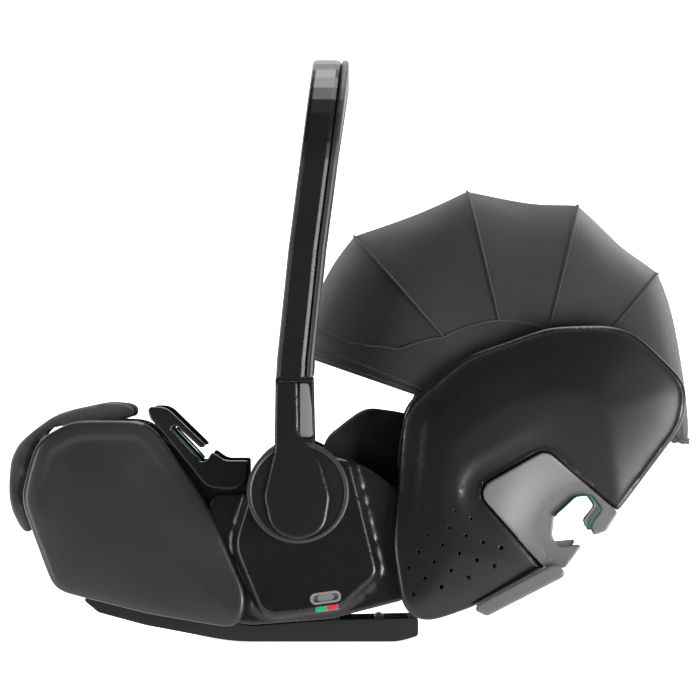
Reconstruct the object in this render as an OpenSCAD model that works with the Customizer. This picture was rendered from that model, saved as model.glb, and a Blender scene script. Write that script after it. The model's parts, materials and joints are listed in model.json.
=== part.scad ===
// Infant carrier seat with a reclining back, a carry handle, a folding canopy and a five-point harness.
// X runs along the seat from the feet (-X) to the head (+X), Y across it and Z up.
// The origin is on the floor, in the middle of the seat's box. The occupant's left side is at -Y.

/* [Overall] */
// Width over the two handle hubs
overall_w = 440; // [400:1:480]
// Gap between parts that move past each other
clear = 1; // [0.6:0.1:2]

/* [Shell] */
// Half width over the rear side covers
cover_y = 186; // [180:1:187]
// Thickness of the side covers at their rim
cover_t = 6; // [3:0.5:8]
// How far the side covers bulge at their middle
cover_bulge = 8; // [4:0.5:8]
// Half width of the inner seat shell
shell_y = 156; // [146:1:157]
// Wall of the inner shells
shell_t = 5; // [3:0.5:8]
// Half width of the rocker base
keel_y = 132; // [110:1:145]

/* [Handle] */
// Height of the handle hub above the floor
hub_z = 154; // [150:1:160]
// Radius of the handle hub
hub_r = 52; // [45:1:56]
// Height of the handle's top above the hub
handle_h = 443; // [435:1:460]
// Width of a handle leg, seen from the side
leg_w = 38; // [30:1:42]
// Thickness of a handle leg
leg_t = 26; // [20:1:28]

/* [Canopy] */
// Half width of the canopy frame at its hubs
bow_y = 168; // [166:0.5:169]
// Thickness of a canopy bow
bow_t = 1.6; // [1.2:0.1:1.8]
// Width of a canopy bow
bow_w = 5; // [3:0.5:6]

/* [Harness] */
// Width of the harness webbing
web_w = 25; // [20:1:30]
// Thickness of the harness webbing
web_t = 1.6; // [1.2:0.1:2.5]

/* [Hidden] */
$fn = 48;
hub_x = -53;
hub_y = overall_w / 2;
leg_in = hub_y - leg_t - 4;
panel_y = 178;
recline_p = [60, 60];
recline_min = -18;
canopy_p = [178, 217];
// Angle above +X and reach of each bow from the canopy's pivot, from the front edge to the rear one
bow_a = [161, 131, 103, 76, 49];
bow_r = [232, 263, 251, 237, 212];
rear_a = -4;
rear_r = 168;
fabric_t = 1.6;
pin_r = 6;

// ---------- outlines, as [x, z, corner radius] ----------
foot_outline = [[-336, 146, 26], [-320, 206, 30], [-282, 226, 30], [-206, 226, 26],
                [-150, 148, 60], [-106, 50, 30], [-112, 14, 12], [-206, 30, 20], [-302, 54, 12]];
mid_outline = [[-142, 152, 20], [-96, 152, 10], [-84, 190, 16], [-40, 200, 16],
               [54, 154, 8], [58, 44, 10], [-20, 24, 60], [-100, 18, 8], [-150, 24, 10]];
plateau_outline = [[-88, 196, 8], [0, 186, 10], [28, 70, 14], [-10, 36, 30], [-88, 26, 20], [-118, 100, 40]];
back_outline = [[58, 14, 26], [44, 100, 60], [56, 240, 40], [118, 292, 60], [204, 322, 60],
                [282, 324, 60], [346, 262, 30], [338, 220, 12], [272, 132, 40], [206, 80, 10], [128, 38, 40]];
hook_outline = [[128, 156, 14], [200, 197, 14], [274, 133, 4], [222, 75, 4], [198, 77, 14]];
hook_eye = [[206, 106, 10], [209, 132, 12], [232, 152, 9], [247, 152, 7], [258, 137, 4], [243, 115, 8], [226, 98, 10], [212, 98, 6]];
shell_outline = [[-330, 150, 30], [-316, 214, 30], [-210, 224, 26], [-140, 168, 30], [-70, 172, 30],
                 [20, 160, 8], [52, 150, 8], [52, 44, 10], [-40, 30, 60], [-150, 36, 60], [-286, 66, 20]];
shell_void = [[-312, 150, 30], [-300, 206, 12], [-240, 280, 4], [60, 280, 4], [60, 52, 4],
              [-40, 44, 60], [-150, 52, 60], [-274, 84, 20]];
rear_shell_outline = [[58, 46, 6], [58, 130, 10], [74, 236, 20], [124, 280, 40], [204, 308, 40],
                      [278, 310, 40], [328, 256, 30], [322, 218, 20], [90, 46, 20]];
rear_void = [[50, 52, 4], [50, 400, 4], [270, 400, 4], [314, 252, 30], [308, 216, 20], [88, 53, 16]];
keel_outline = [[-282, 50, 6], [-258, 30, 10], [-210, 17, 60], [-120, 0, 200], [50, 0, 60], [70, 6, 4],
                [70, 24, 3], [-20, 22, 40], [-100, 16, 20], [-210, 32, 20]];

// ---------- shared functions ----------
// Each corner of an outline as a rounded arc
function corner(a, b, c) =
    let(u = (a - b) / norm(a - b), v = (c - b) / norm(c - b), half = acos(max(-1, min(1, u * v))) / 2)
    [u, v, half];
function corner_arc(p, i, n = 5) =
    let(k = len(p), b = [p[i][0], p[i][1]], a = [p[(i + k - 1) % k][0], p[(i + k - 1) % k][1]],
        c = [p[(i + 1) % k][0], p[(i + 1) % k][1]], q = corner(a, b, c),
        reach = min(p[i][2] / tan(q[2]), 0.48 * norm(a - b), 0.48 * norm(c - b)), r = reach * tan(q[2]),
        m = b + (q[0] + q[1]) / norm(q[0] + q[1]) * (r / sin(q[2])), s = b + q[0] * reach, e = b + q[1] * reach,
        a0 = atan2(s[1] - m[1], s[0] - m[0]), a1 = atan2(e[1] - m[1], e[0] - m[0]),
        turn = (a1 - a0 + 540) % 360 - 180)
    [for (j = [0:n]) m + r * [cos(a0 + turn * j / n), sin(a0 + turn * j / n)]];
function rounded(p, n = 5) = [for (i = [0:len(p) - 1]) each corner_arc(p, i, n)];

// ---------- shared modules ----------
// A plate with the outline p in XZ, between y0 and y1
module plate(p, y0, y1) {
    translate([0, max(y0, y1), 0]) rotate([90, 0, 0]) linear_extrude(abs(y1 - y0)) polygon(p);
}
module side(s) {
    mirror([0, s > 0 ? 0 : 1, 0]) children();
}
module both() {
    children();
    mirror([0, 1, 0]) children();
}
module at(p, y = 0) {
    translate([p[0], y, p[1]]) children();
}
// A cylinder along Y
module rod(p, r, y0, y1) {
    translate([p[0], y1, p[1]]) rotate([90, 0, 0]) cylinder(r = r, h = y1 - y0);
}
// A solid lofted through rings of equal length, capped at both ends by a fan
module loft(rings) {
    n = len(rings[0]);
    k = len(rings);
    first = [0, 0, 0] + [for (a = [0:2]) mean([for (v = rings[0]) v[a]])];
    last = [0, 0, 0] + [for (a = [0:2]) mean([for (v = rings[k - 1]) v[a]])];
    polyhedron(
        points = [for (r = rings) each r, first, last],
        faces = [
            for (i = [0:k - 2], j = [0:n - 1], h = [0, 1])
                h == 0 ? [i * n + j, i * n + (j + 1) % n, (i + 1) * n + j]
                       : [i * n + (j + 1) % n, (i + 1) * n + (j + 1) % n, (i + 1) * n + j],
            for (j = [0:n - 1]) [k * n, (j + 1) % n, j],
            for (j = [0:n - 1]) [k * n + 1, (k - 1) * n + j, (k - 1) * n + (j + 1) % n]]);
}
function mean(v) = total(v) / len(v);
function total(v, i = 0) = i == len(v) ? 0 : v[i] + total(v, i + 1);
// A thin domed cover on the right side: rim at y, the middle c bulges out, and the cover tapers in towards the feet
cover_wall = 3;
function taper(x, x0, k) = -k * pow(max(0, x0 - x) / 100, 2);
function dome_ring(p, c, s, y, x0, k) =
    [for (v = p) let(x = c[0] + (v[0] - c[0]) * s) [x, y + taper(x, x0, k), c[1] + (v[1] - c[1]) * s]];
function dome_y(s, y, edge, bulge) = y + edge + bulge * (1 - pow(s, 3));
module domed_cover(p, c, y, edge, bulge, x0 = -1000, k = 0) {
    outer = [1, 0.985, 0.94, 0.85, 0.7, 0.45, 0.15];
    inner = [0.15, 0.45, 0.7, 0.85, 0.93];
    side_face = [for (s = outer) dome_ring(p, c, s, s == 1 ? y + edge * 0.55 : dome_y(s, y, edge, bulge), x0, k)];
    back_face = [for (s = inner) dome_ring(p, c, s, dome_y(s, y, edge, bulge) - cover_wall, x0, k)];
    loft([each back_face, dome_ring(p, c, 0.97, y, x0, k), dome_ring(p, c, 1, y, x0, k), each side_face]);
}

// ---------- base and seat shell ----------
latch_r = 5;
latch_front = [-150, 22];
latch_rear = [30, 22];
screw_r = 2.5;
screw_x = [-190, -20];
screw_y = 100;
module screw_places() {
    for (x = screw_x) translate([x, screw_y, 0]) children();
}
keel_pocket = [[-262, 54, 4], [-204, 27, 20], [-118, 9, 60], [46, 9, 20], [60, 16, 4], [60, 60, 4], [-262, 60, 4]];
module base_keel() {
    color([0.05, 0.05, 0.055]) difference() {
        plate(rounded(keel_outline), -keel_y, keel_y);
        plate(rounded(keel_pocket, 3), 8 - keel_y, -30);
        plate(rounded(keel_pocket, 3), -22, 22);
        plate(rounded(keel_pocket, 3), 30, keel_y - 8);
        for (p = [latch_front, latch_rear]) rod(p, latch_r + 0.05, -40, 40);
        both() for (x = screw_x) translate([x, screw_y, -1]) cylinder(r = 5, h = screw_seat(x) + 1);
        both() screw_places() cylinder(r = screw_r + 0.1, h = 80);
    }
    color([0.05, 0.05, 0.055]) both() for (x = screw_x) translate([x, screw_y, screw_seat(x)]) difference() {
        translate([0, 0, -1.5]) cylinder(r = 9, h = shell_bottom(x) - screw_seat(x) + 1.4);
        translate([0, 0, -2]) cylinder(r = screw_r + 0.1, h = 60);
        translate([0, 0, -2]) cylinder(r = 5, h = 2);
    }
}
module latch_bar(p) {
    color([0.6, 0.6, 0.62]) rod(p, latch_r, -32, 32);
}
module base_screws() {
    color([0.5, 0.5, 0.52]) both() for (x = screw_x) translate([x, screw_y, 0]) screw(x);
}
module screw(x) {
    translate([0, 0, screw_seat(x)]) cylinder(r = screw_r, h = shell_bottom(x) - screw_seat(x) + 9);
    translate([0, 0, screw_seat(x) - 4]) cylinder(r = 4.6, h = 4);
}
function shell_bottom(x) = x < -150 ? 42.6 : 31.2;
function screw_seat(x) = x < -150 ? 22 : 6;
module reclined(a) {
    at(recline_p) rotate([0, a, 0]) at(-recline_p) children();
}
function narrowed(plan, wall) = [for (v = plan) [v[0], v[1] - sign(v[1]) * wall, v[2]]];
module plan_prism(plan) {
    translate([0, 0, -20]) linear_extrude(700) polygon(rounded(plan, 6));
}
module shell_trough(outline, void, half, wall, plan) {
    difference() {
        intersection() {
            plate(rounded(outline), -half, half);
            plan_prism(plan);
        }
        intersection() {
            plate(rounded(void, 4), -half, half);
            plan_prism(narrowed(plan, wall));
        }
    }
}
seat_plan = [[-400, 34 - shell_y, 20], [-330, 28 - shell_y, 50], [-120, -shell_y, 200], [60, -shell_y, 2],
             [60, shell_y, 2], [-120, shell_y, 200], [-330, shell_y - 28, 50], [-400, shell_y - 34, 20]];
rear_plan = [[0, -shell_y, 2], [250, -shell_y, 80], [332, 36 - shell_y, 80], [332, shell_y - 36, 80], [250, shell_y, 80], [0, shell_y, 2]];
module seat_shell() {
    color([0.1, 0.1, 0.105]) difference() {
        union() {
            difference() {
                shell_trough(shell_outline, shell_void, shell_y, shell_t, seat_plan);
                for (a = [0, recline_min / 2, recline_min])
                    reclined(a) plate(rounded(rear_clear, 3), -shell_y - 2, shell_y + 2);
            }
            both() rod(recline_p, ear_r, shell_y - shell_t, shell_y);
            both() translate([30, shell_y - shell_t, 46]) cube([recline_p[0] - 30, shell_t, 18]);
        }
        rod(recline_p, ear_r + 1.5, 0.5 + shell_t - shell_y, shell_y - shell_t - 0.5);
        both() screw_places() cylinder(r = screw_r + 0.1, h = 60);
        both() rod(recline_p, pin_r, shell_y - 30, shell_y + 10);
    }
}
rear_clear = [[44, 28, 10], [44, 130, 10], [70, 240, 20], [200, 240, 4], [200, 28, 4]];
module foot_cover() {
    color([0.2, 0.2, 0.2]) domed_cover(rounded(foot_outline), [-222, 130], shell_y + 12, 5, 7, -160, 9);
}
module hub_panel() {
    inner = offset_in(plateau_outline);
    color([0.04, 0.04, 0.045]) difference() {
        union() {
            plate(rounded(mid_outline), shell_y + 6, shell_y + 11);
            plate(rounded(plateau_outline), shell_y + 10, panel_y);
        }
        plate(rounded(inner), shell_y, panel_y - 3);
        rod([hub_x, hub_z], pin_r + 4, 0, 300);
        at(gauge_p, 0) rotate([0, -8, 0]) translate([-16, 0, -6]) cube([32, 300, 12]);
        at(gauge_p, 0) rotate([0, -8, 0]) translate([-12, 0, -14]) cube([24, 300, 6]);
        rod(recline_p, pin_r + 4, 0, 300);
    }
}
function offset_in(p) = let(c = [mean([for (v = p) v[0]]), mean([for (v = p) v[1]])])
    [for (v = p) [c[0] + (v[0] - c[0]) * 0.9, c[1] + (v[1] - c[1]) * 0.92, v[2]]];
guide_outline = [[-204, 229, 3], [-208, 241, 5], [-188, 241, 20], [-150, 204, 4], [-147, 200, 1], [-153, 199, 2],
                 [-178, 222, 2], [-184, 218, 2], [-152, 184, 3], [-146, 186, 3], [-141, 195, 2], [-128, 186, 14],
                 [-104, 186, 2], [-104, 166, 10], [-118, 156, 14], [-146, 158, 20], [-186, 208, 30]];
module lap_belt_guide() {
    color([0.13, 0.13, 0.135]) plate(rounded(guide_outline, 4), shell_y + 1, panel_y - 2);
}
foot_pad_outline = [[-330, 106, 8], [-347, 140, 60], [-345, 200, 44], [-300, 236, 60], [-250, 247, 60],
                    [-217, 244, 6], [-217, 227, 2], [-320, 218, 34], [-334, 150, 30], [-318, 112, 4]];
module foot_rim_pad() {
    color([0.25, 0.25, 0.27]) intersection() {
        plate(rounded(foot_pad_outline), -shell_y - 4, shell_y + 4);
        difference() {
            plan_prism(foot_plan);
            translate([0, 0, -20]) linear_extrude(700) polygon(rounded(foot_open, 6));
        }
    }
}
foot_open = [[-321, 44 - shell_y, 30], [-200, 18 - shell_y, 40], [-90, 18 - shell_y, 2], [-90, shell_y - 18, 2],
             [-200, shell_y - 18, 40], [-321, shell_y - 44, 30]];
foot_plan = [[-420, 36 - shell_y, 20], [-346, 18 - shell_y, 60], [-200, -shell_y - 2, 40], [-100, -shell_y - 2, 2],
             [-100, shell_y + 2, 2], [-200, shell_y + 2, 40], [-346, shell_y - 18, 60], [-420, shell_y - 36, 20]];
seat_pad_outline = [[-292, 176, 8], [-284, 122, 30], [-258, 88, 30], [-150, 56, 60], [-40, 48, 60], [40, 54, 4],
                    [34, 76, 8], [-40, 74, 60], [-150, 82, 60], [-240, 112, 30], [-268, 140, 20], [-276, 178, 8]];
module seat_pad() {
    color([0.08, 0.08, 0.09]) intersection() {
        plate(rounded(seat_pad_outline), 8 - shell_y, shell_y - 8);
        plan_prism(seat_pad_plan);
    }
}
seat_pad_plan = [[-400, 44 - shell_y, 20], [-330, 40 - shell_y, 50], [-130, 18 - shell_y, 100], [60, -shell_y + 12, 4],
                 [60, shell_y - 12, 4], [-130, shell_y - 18, 100], [-330, shell_y - 40, 50], [-400, shell_y - 44, 20]];
// ---------- handle bearings, level gauges and recline pins ----------
ring_r = 26;
teeth = 24;
ear_r = 15;
module hub_lock_ring() {
    color([0.3, 0.3, 0.31]) {
        difference() {
            rod([hub_x, hub_z], pin_r + 3.9, shell_y + 1, leg_in - 8);
            rod([hub_x, hub_z], 3, shell_y - 5, leg_in - 12);
        }
        rod([hub_x, hub_z], pin_r, leg_in - 8.5, leg_in + 14);
        rod([hub_x, hub_z], ring_r, panel_y + clear, leg_in - clear - 4);
        for (i = [0:teeth - 1])
            translate([hub_x, 0, hub_z]) rotate([0, i * 360 / teeth, 0])
                translate([ring_r - 1, panel_y + clear, -1.6]) cube([4, leg_in - clear - 4 - panel_y - clear, 3.2]);
    }
}
gauge_p = [-25, 46];
module level_gauge() {
    color([0.75, 0.75, 0.75]) at(gauge_p) rotate([0, -8, 0]) {
        difference() {
            gauge_pill(15.9, 5.9, panel_y - 4, panel_y + 0.4);
            gauge_pill(13.5, 3.6, panel_y - 3, panel_y + 5);
        }
        translate([-11.9, panel_y - 4, -13.9]) cube([23.8, 4.3, 5.8]);
    }
}
module gauge_pill(half, r, y0, y1) {
    translate([0, y1, 0]) rotate([90, 0, 0]) linear_extrude(y1 - y0)
        polygon(rounded([[-half, -r, r], [half, -r, r], [half, r, r], [-half, r, r]]));
}
module level_float() {
    color([0.25, 0.25, 0.26]) at(gauge_p) rotate([0, -8, 0]) gauge_pill(8.5, 3.4, panel_y - 2.8, panel_y - 0.6);
}
module recline_pins() {
    color([0.5, 0.5, 0.52]) both() {
        rod(recline_p, pin_r, shell_y - 14, shell_y);
        rod(recline_p, pin_r + 3, shell_y, shell_y + 2);
    }
}

// ---------- harness at the seat end ----------
buckle_p = [-50, 92];
module crotch_strap() {
    color([0.06, 0.06, 0.065])
        plate(rounded([[-62, 76, 0.5], [-44, 75.8, 0.5], [-41, 95, 0.5], [-61, 87.8, 0.5]]), -web_w / 2, web_w / 2);
}
module buckle_body() {
    color([0.08, 0.08, 0.085]) difference() {
        at(buckle_p) rotate([0, -20, 0]) translate([-24, -22, 0.5]) rounded_box([52, 44, 20], 6);
        at(buckle_p) rotate([0, -20, 0]) translate([-16, -12.5, 8]) cube([23, 25, 20]);
    }
}
module rounded_box(s, r) {
    linear_extrude(s[2]) polygon(rounded([[0, 0, r], [s[0], 0, r], [s[0], s[1], r], [0, s[1], r]]));
}
module buckle_button() {
    color([0.75, 0.05, 0.05]) at(buckle_p) rotate([0, -20, 0]) translate([-15, -12, 11.5]) rounded_box([21, 24, 10.5], 4);
}
adjust_p = [-185, 96];
adjust_a = 18.4;
module adjuster_housing() {
    color([0.1, 0.1, 0.105]) difference() {
        at(adjust_p) rotate([0, adjust_a, 0]) translate([-20, -18, 0]) rounded_box([40, 36, 9], 6);
        at(adjust_p) rotate([0, adjust_a, 0]) translate([-13, -11, 2.5]) cube([26, 22, 20]);
    }
}
module adjuster_button() {
    color([0.35, 0.35, 0.36]) at(adjust_p) rotate([0, adjust_a, 0]) translate([-12, -10, 5]) rounded_box([24, 20, 6], 3);
}
module adjuster_strap() {
    color([0.06, 0.06, 0.065])
        plate(webbing([[-206, 106], [-238, 117], [-262, 138]], 1.8), -web_w / 2, web_w / 2);
}

// ---------- reclining back ----------
module rear_shell() {
    color([0.1, 0.1, 0.105]) difference() {
        union() {
            difference() {
                shell_trough(rear_shell_outline, rear_void, shell_y, shell_t, rear_plan);
                both() for (a = [0, -recline_min])
                    reclined(a) translate([0, shell_y - shell_t - 1, 40]) cube([recline_p[0], 20, 28]);
                both() rod(recline_p, ear_r + 1.5, shell_y - shell_t - 1, 200);
            }
            both() rod(recline_p, ear_r - 1, shell_y - 12, shell_y - shell_t - 1);
            both() translate([recline_p[0], shell_y - 12, 47]) cube([26, 11 - shell_t, 25]);
            both() translate([recline_p[0] + ear_r + 2, shell_y - 12, 58]) cube([10, 12, 14]);
        }
        rod(recline_p, pin_r + 0.05, -300, 300);
        rod(canopy_p, hub_pin_r, -300, 300);
        release_cut(clear);
    }
}
back_a = 36.5;
guide_s0 = [104, 66];
// A point on the back's rest line: s along it and h above it
function back_p(s, h) = guide_s0 + [cos(back_a) * s - sin(back_a) * h, sin(back_a) * s + cos(back_a) * h];
module along_back(s, h) {
    p = back_p(s, h);
    at(p) rotate([0, -back_a, 0]) children();
}
hook_m = [205, 132];
eye_m = [230, 125];
// An outline scaled about m
function scaled(p, m, grow) = [for (v = p) [m[0] + (v[0] - m[0]) * grow, m[1] + (v[1] - m[1]) * grow, v[2]]];
module hook_cut(grow) {
    plate(rounded(scaled(hook_outline, hook_m, grow)), 100, 300);
}
// The mouth of the hook, open towards the head end
module hook_mouth(wide) {
    at([233, 115]) rotate([0, 44, 0]) translate([0, 100, -wide / 2]) cube([90, 200, wide]);
}
// Each vent hole's place and radius
vent_places = [[111.5, 152.5, 0.9], [91.5, 143.5, 0.8], [70.5, 136.5, 0.8], [107, 135, 1.1], [85.5, 126.5, 1.1], [123.5, 127, 1.4],
               [63.5, 120, 1], [101.5, 117.5, 1.4], [78.5, 109.5, 1.3], [118.5, 109.5, 1.6], [136, 102.5, 1.9], [94.5, 100, 1.6],
               [154.5, 97, 2.2], [70, 93, 1.5], [111.5, 91.5, 1.9], [129.5, 84.5, 2.2], [86, 83, 1.8], [60, 76.5, 1.7],
               [147.5, 78.5, 2.4], [103, 74, 2.1], [76.5, 66, 2], [121, 66.5, 2.4], [93.5, 57, 2.3], [65, 49.5, 2.2]];
module vents() {
    for (v = vent_places) rod([v[0], v[1]], v[2], cover_y - 40, cover_y + 10);
}
module rear_cover() {
    color([0.1, 0.1, 0.1]) difference() {
        domed_cover(rounded(back_outline), [190, 175], cover_y - cover_t - cover_bulge, cover_t, cover_bulge);
        hook_cut(1.02);
        vents();
    }
}
hook_y = cover_y - cover_t - cover_bulge;
module belt_hook() {
    color([0.35, 0.35, 0.35]) difference() {
        plate(rounded(hook_outline), shell_y + 0.5, hook_y + 2);
        plate(rounded(hook_eye), 100, 300);
        hook_mouth(15);
    }
}
module belt_hook_liner() {
    color([0.02, 0.35, 0.25]) difference() {
        plate(rounded(scaled(hook_eye, eye_m, 0.985)), shell_y + 2, hook_y);
        plate(rounded(scaled(hook_eye, eye_m, 0.88)), 100, 300);
        hook_mouth(19);
    }
}
function back_q(s, h, r) = [back_p(s, h)[0], back_p(s, h)[1], r];
module back_pad() {
    color([0.08, 0.08, 0.09])
        plate(rounded([[72, 57, 4], [92, 58, 10], back_q(98, 0.5, 3), back_q(98, 19, 8), back_q(-6, 19, 30), [72, 88, 8]]),
              14 - shell_y, shell_y - 14);
}
bolster_outline = [[-34, 166, 10], [-30, 208, 20], [14, 242, 20], [60, 236, 30], [96, 214, 20], [96, 118, 10],
                   [40, 112, 20], [0, 146, 20]];
module side_bolsters() {
    color([0.08, 0.08, 0.09]) both() plate(rounded(bolster_outline), shell_y - 50, shell_y - 29);
}
rim_outline = [[44, 172, 14], [50, 220, 40], [74, 272, 30], [112, 292, 6], [120, 278, 6], [90, 252, 30], [74, 200, 30], [62, 164, 14]];
module rim_pads() {
    color([0.1, 0.1, 0.11]) both() plate(rounded(rim_outline), shell_y - 26, shell_y - shell_t - 0.5);
}
lever_p = [262, 173.5];
lever_a = 36.5;
lever_half = [34, 32];
lever_pin = [30, -1.5];
module on_lever() {
    at(lever_p) rotate([0, -lever_a, 0]) children();
}
module release_cut(gap) {
    on_lever() translate([-lever_half[0] - gap, -lever_half[1] - gap, -16])
        cube([2 * (lever_half[0] + gap), 2 * (lever_half[1] + gap), 18 + gap]);
}
module release_lever() {
    color([0.3, 0.3, 0.3]) on_lever() {
        translate([-lever_half[0], -lever_half[1], -4])
            linear_extrude(5) polygon(rounded([[0, 0, 12], [64, 0, 2], [64, 64, 2], [0, 64, 12]]));
        rod(lever_pin, 3.2, -lever_half[1], lever_half[1]);
    }
}
module headrest_guide() {
    color([0.45, 0.45, 0.46]) along_back(100, -0.75) translate([0, -10, 0]) cube([110, 20, 3.75]);
}

// ---------- headrest and shoulder harness ----------
rest_s = [100, 180];
rest_y = 116;
module headrest_section(h0, y, t, wing) {
    polygon(rounded([[-y, wing, 2], [-y, h0, 24], [y, h0, 24], [y, wing, 2],
                     [y - t, wing, 2], [y - t, h0 + t, 20], [t - y, h0 + t, 20], [t - y, wing, 2]]));
}
module across_back(s, length) {
    p = back_p(s, 0);
    at(p) rotate([0, -back_a, 0]) rotate([90, 0, 90]) linear_extrude(length) children();
}
module headrest_shell() {
    color([0.12, 0.12, 0.125]) difference() {
        across_back(rest_s[0], rest_s[1] - rest_s[0]) headrest_section(12, rest_y, 4, 84);
        both() along_back(118, 0) translate([0, 20, 5]) cube([5, 30, 20]);
    }
}
module headrest_pad() {
    color([0.09, 0.09, 0.1]) across_back(rest_s[0] + 4, rest_s[1] - rest_s[0] - 2) headrest_section(17, rest_y - 5, 18, 88);
}
module harness_yoke() {
    color([0.5, 0.5, 0.52]) along_back(116, 7.5) translate([0, -48, 0]) rounded_box([16, 96, 2.5], 4);
}
strap_y = 22;
strap_line = [[171, 144.5], [148, 126], [119, 104], [70, 104], [20, 112], [-9, 118]];
module shoulder_straps() {
    color([0.06, 0.06, 0.065]) both() plate(webbing(strap_line, web_t), strap_y, strap_y + web_w);
}
function webbing(line, t) = [for (v = line) v, for (i = [len(line) - 1:-1:0]) line[i] + [0, t]];
module chest_pads() {
    color([0.1, 0.1, 0.11]) both()
        plate(webbing([for (i = [1:4]) strap_line[i] + [0, web_t + 0.4]], 9), strap_y - 8, strap_y + web_w + 8);
}
module buckle_tongues() {
    color([0.7, 0.7, 0.72]) both() at(buckle_p) rotate([0, -20, 0]) translate([28.3, 2, 9]) rounded_box([16, 18, 2.4], 2);
}
module lap_straps() {
    color([0.06, 0.06, 0.065]) both() {
        plate(rounded([[-62, 96, 0.5], [-36, 96, 0.5], [-36, 98, 0.5], [-62, 98, 0.5]]), 24, 70);
        translate([-62, 70, 96]) rotate([20, 0, 0]) cube([26, shell_y - 86, web_t]);
    }
}

// ---------- canopy ----------
canopy_base = 62;
eyelet_r = 10;
hub_pin_r = 5;
function bow_half(i) = bow_y - 2 * i - bow_t / 2;
bow_e = [0.72, 0.72, 0.7, 0.66, 0.58];
rear_e = 0.36;
function arch(w, r, e, n = 28) =
    [for (i = [0:n]) let(t = 180 * i / n)
        [canopy_base + (r - canopy_base) * pow(max(0, sin(t)), e), -w * sign(cos(t)) * pow(abs(cos(t)), e)]];
module in_bow(a) {
    at(canopy_p) rotate([0, -a, 0]) children();
}
module canopy_bow(i) {
    w = bow_half(i);
    color([0.15, 0.15, 0.155]) in_bow(bow_a[i]) difference() {
        union() {
            translate([0, 0, -bow_w / 2]) linear_extrude(bow_w)
                polygon([[0, -w - bow_t / 2], each arch(w + bow_t / 2, bow_r[i], bow_e[i]), [0, w + bow_t / 2],
                         [0, w - bow_t / 2], each rev(arch(w - bow_t / 2, bow_r[i] - 3, bow_e[i])), [0, bow_t / 2 - w]]);
            both() rod([0, 0], eyelet_r, w - bow_t / 2, w + bow_t / 2);
        }
        rod([0, 0], hub_pin_r + 0.05, -300, 300);
    }
}
function rev(v) = [for (i = [len(v) - 1:-1:0]) v[i]];
module canopy_hubs() {
    color([0.12, 0.12, 0.125]) both() {
        rod(canopy_p, hub_pin_r, shell_y - 2, bow_y + 1);
        rod(canopy_p, 16, shell_y, shell_y + 1.6);
    }
}
// One fabric panel between two bows: it sags between them, and stays clear of their strips
gap_t = bow_w / 2 + 0.6;
function blend(a, b, s) = a + (b - a) * s;
function panel_grid(w, r, e, a, t, sag, steps) =
    let(p0 = arch(w[0] - t, r[0] - t, e[0]), p1 = arch(w[1] - t, r[1] - t, e[1]))
    [for (i = [0:steps]) let(s = i / steps, dip = sin(180 * s))
        [for (j = [0:len(p0) - 1])
            let(lift = (p0[j][0] - canopy_base) / (r[0] - canopy_base), d = blend(p0[j][0], p1[j][0], s) * (1 - sag * dip * lift),
                lo = a[0] - atan2(gap_t, d), hi = a[1] + atan2(gap_t, d), q = blend(lo, hi, s))
            [canopy_p[0] + d * cos(q), blend(p0[j][1], p1[j][1], s) * (1 - 0.15 * sag * dip), canopy_p[1] + d * sin(q)]]];
// A thin solid between two grids of points
module sheet(a, b) {
    k = len(a);
    n = len(a[0]);
    m = k * n;
    polyhedron(points = [for (v = a) each v, for (v = b) each v], faces = [
        for (i = [0:k - 2], j = [0:n - 2]) let(p = i * n + j, q = p + n)
            each [[p, p + 1, q + 1], [p, q + 1, q], [m + p, m + q + 1, m + p + 1], [m + p, m + q, m + q + 1]],
        for (j = [0:n - 2]) let(q = m - n + j)
            each [[j + 1, j, m + j], [j + 1, m + j, m + j + 1], [q, q + 1, m + q + 1], [q, m + q + 1, m + q]],
        for (i = [0:k - 2]) let(p = i * n, q = p + n, u = p + n - 1, v = u + n)
            each [[p, q, m + q], [p, m + q, m + p], [v, u, m + u], [v, m + u, m + v]]]);
}
module canopy_panel(i) {
    rear = i == 4;
    w = [bow_half(i), rear ? 163 : bow_half(i + 1)];
    r = [bow_r[i], rear ? rear_r : bow_r[i + 1]];
    e = [bow_e[i], rear ? rear_e : bow_e[i + 1]];
    a = [bow_a[i], rear ? rear_a : bow_a[i + 1]];
    color([0.22, 0.22, 0.225]) sheet(panel_grid(w, r, e, a, 0, 0.05, 5), panel_grid(w, r, e, a, fabric_t, 0.05, 5));
}

// ---------- handle ----------
leg_line = [[-57, 262], [-55.5, 290], [-49, 352], [-44, 401], [-31, 500], [-20, 580]];
corner_r = 90;
leg_z = 267;
handle_top = hub_z + handle_h;
// The handle's path: points in Y and Z with the outward direction at each, from the left leg to the right one
function leg_x(z) = lookup(z, [for (v = leg_line) [v[1], v[0]]]);
function handle_path() =
    let(half = hub_y - 4 - leg_t / 2, top = handle_top - leg_t / 2, rc = corner_r)
    [for (z = [leg_z, 290, 352, 401, 450]) [-half, z, 180],
     for (a = [0:9:90]) [-half + rc - rc * cos(a), top - rc + rc * sin(a), 180 - a],
     for (a = [90:-9:0]) [half - rc + rc * cos(a), top - rc + rc * sin(a), a],
     for (z = [450, 401, 352, 290, leg_z]) [half, z, 0]];
function section(u0, u1, v, r) = rounded([[u0, -v, r], [u1, -v, r], [u1, v, r], [u0, v, r]], 2);
module sweep(ring, path) {
    loft([for (p = path) [for (q = ring)
        let(z = p[1] + q[1] * sin(p[2])) [leg_x(p[1]) + q[0], p[0] + q[1] * cos(p[2]), z]]]);
}
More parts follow.
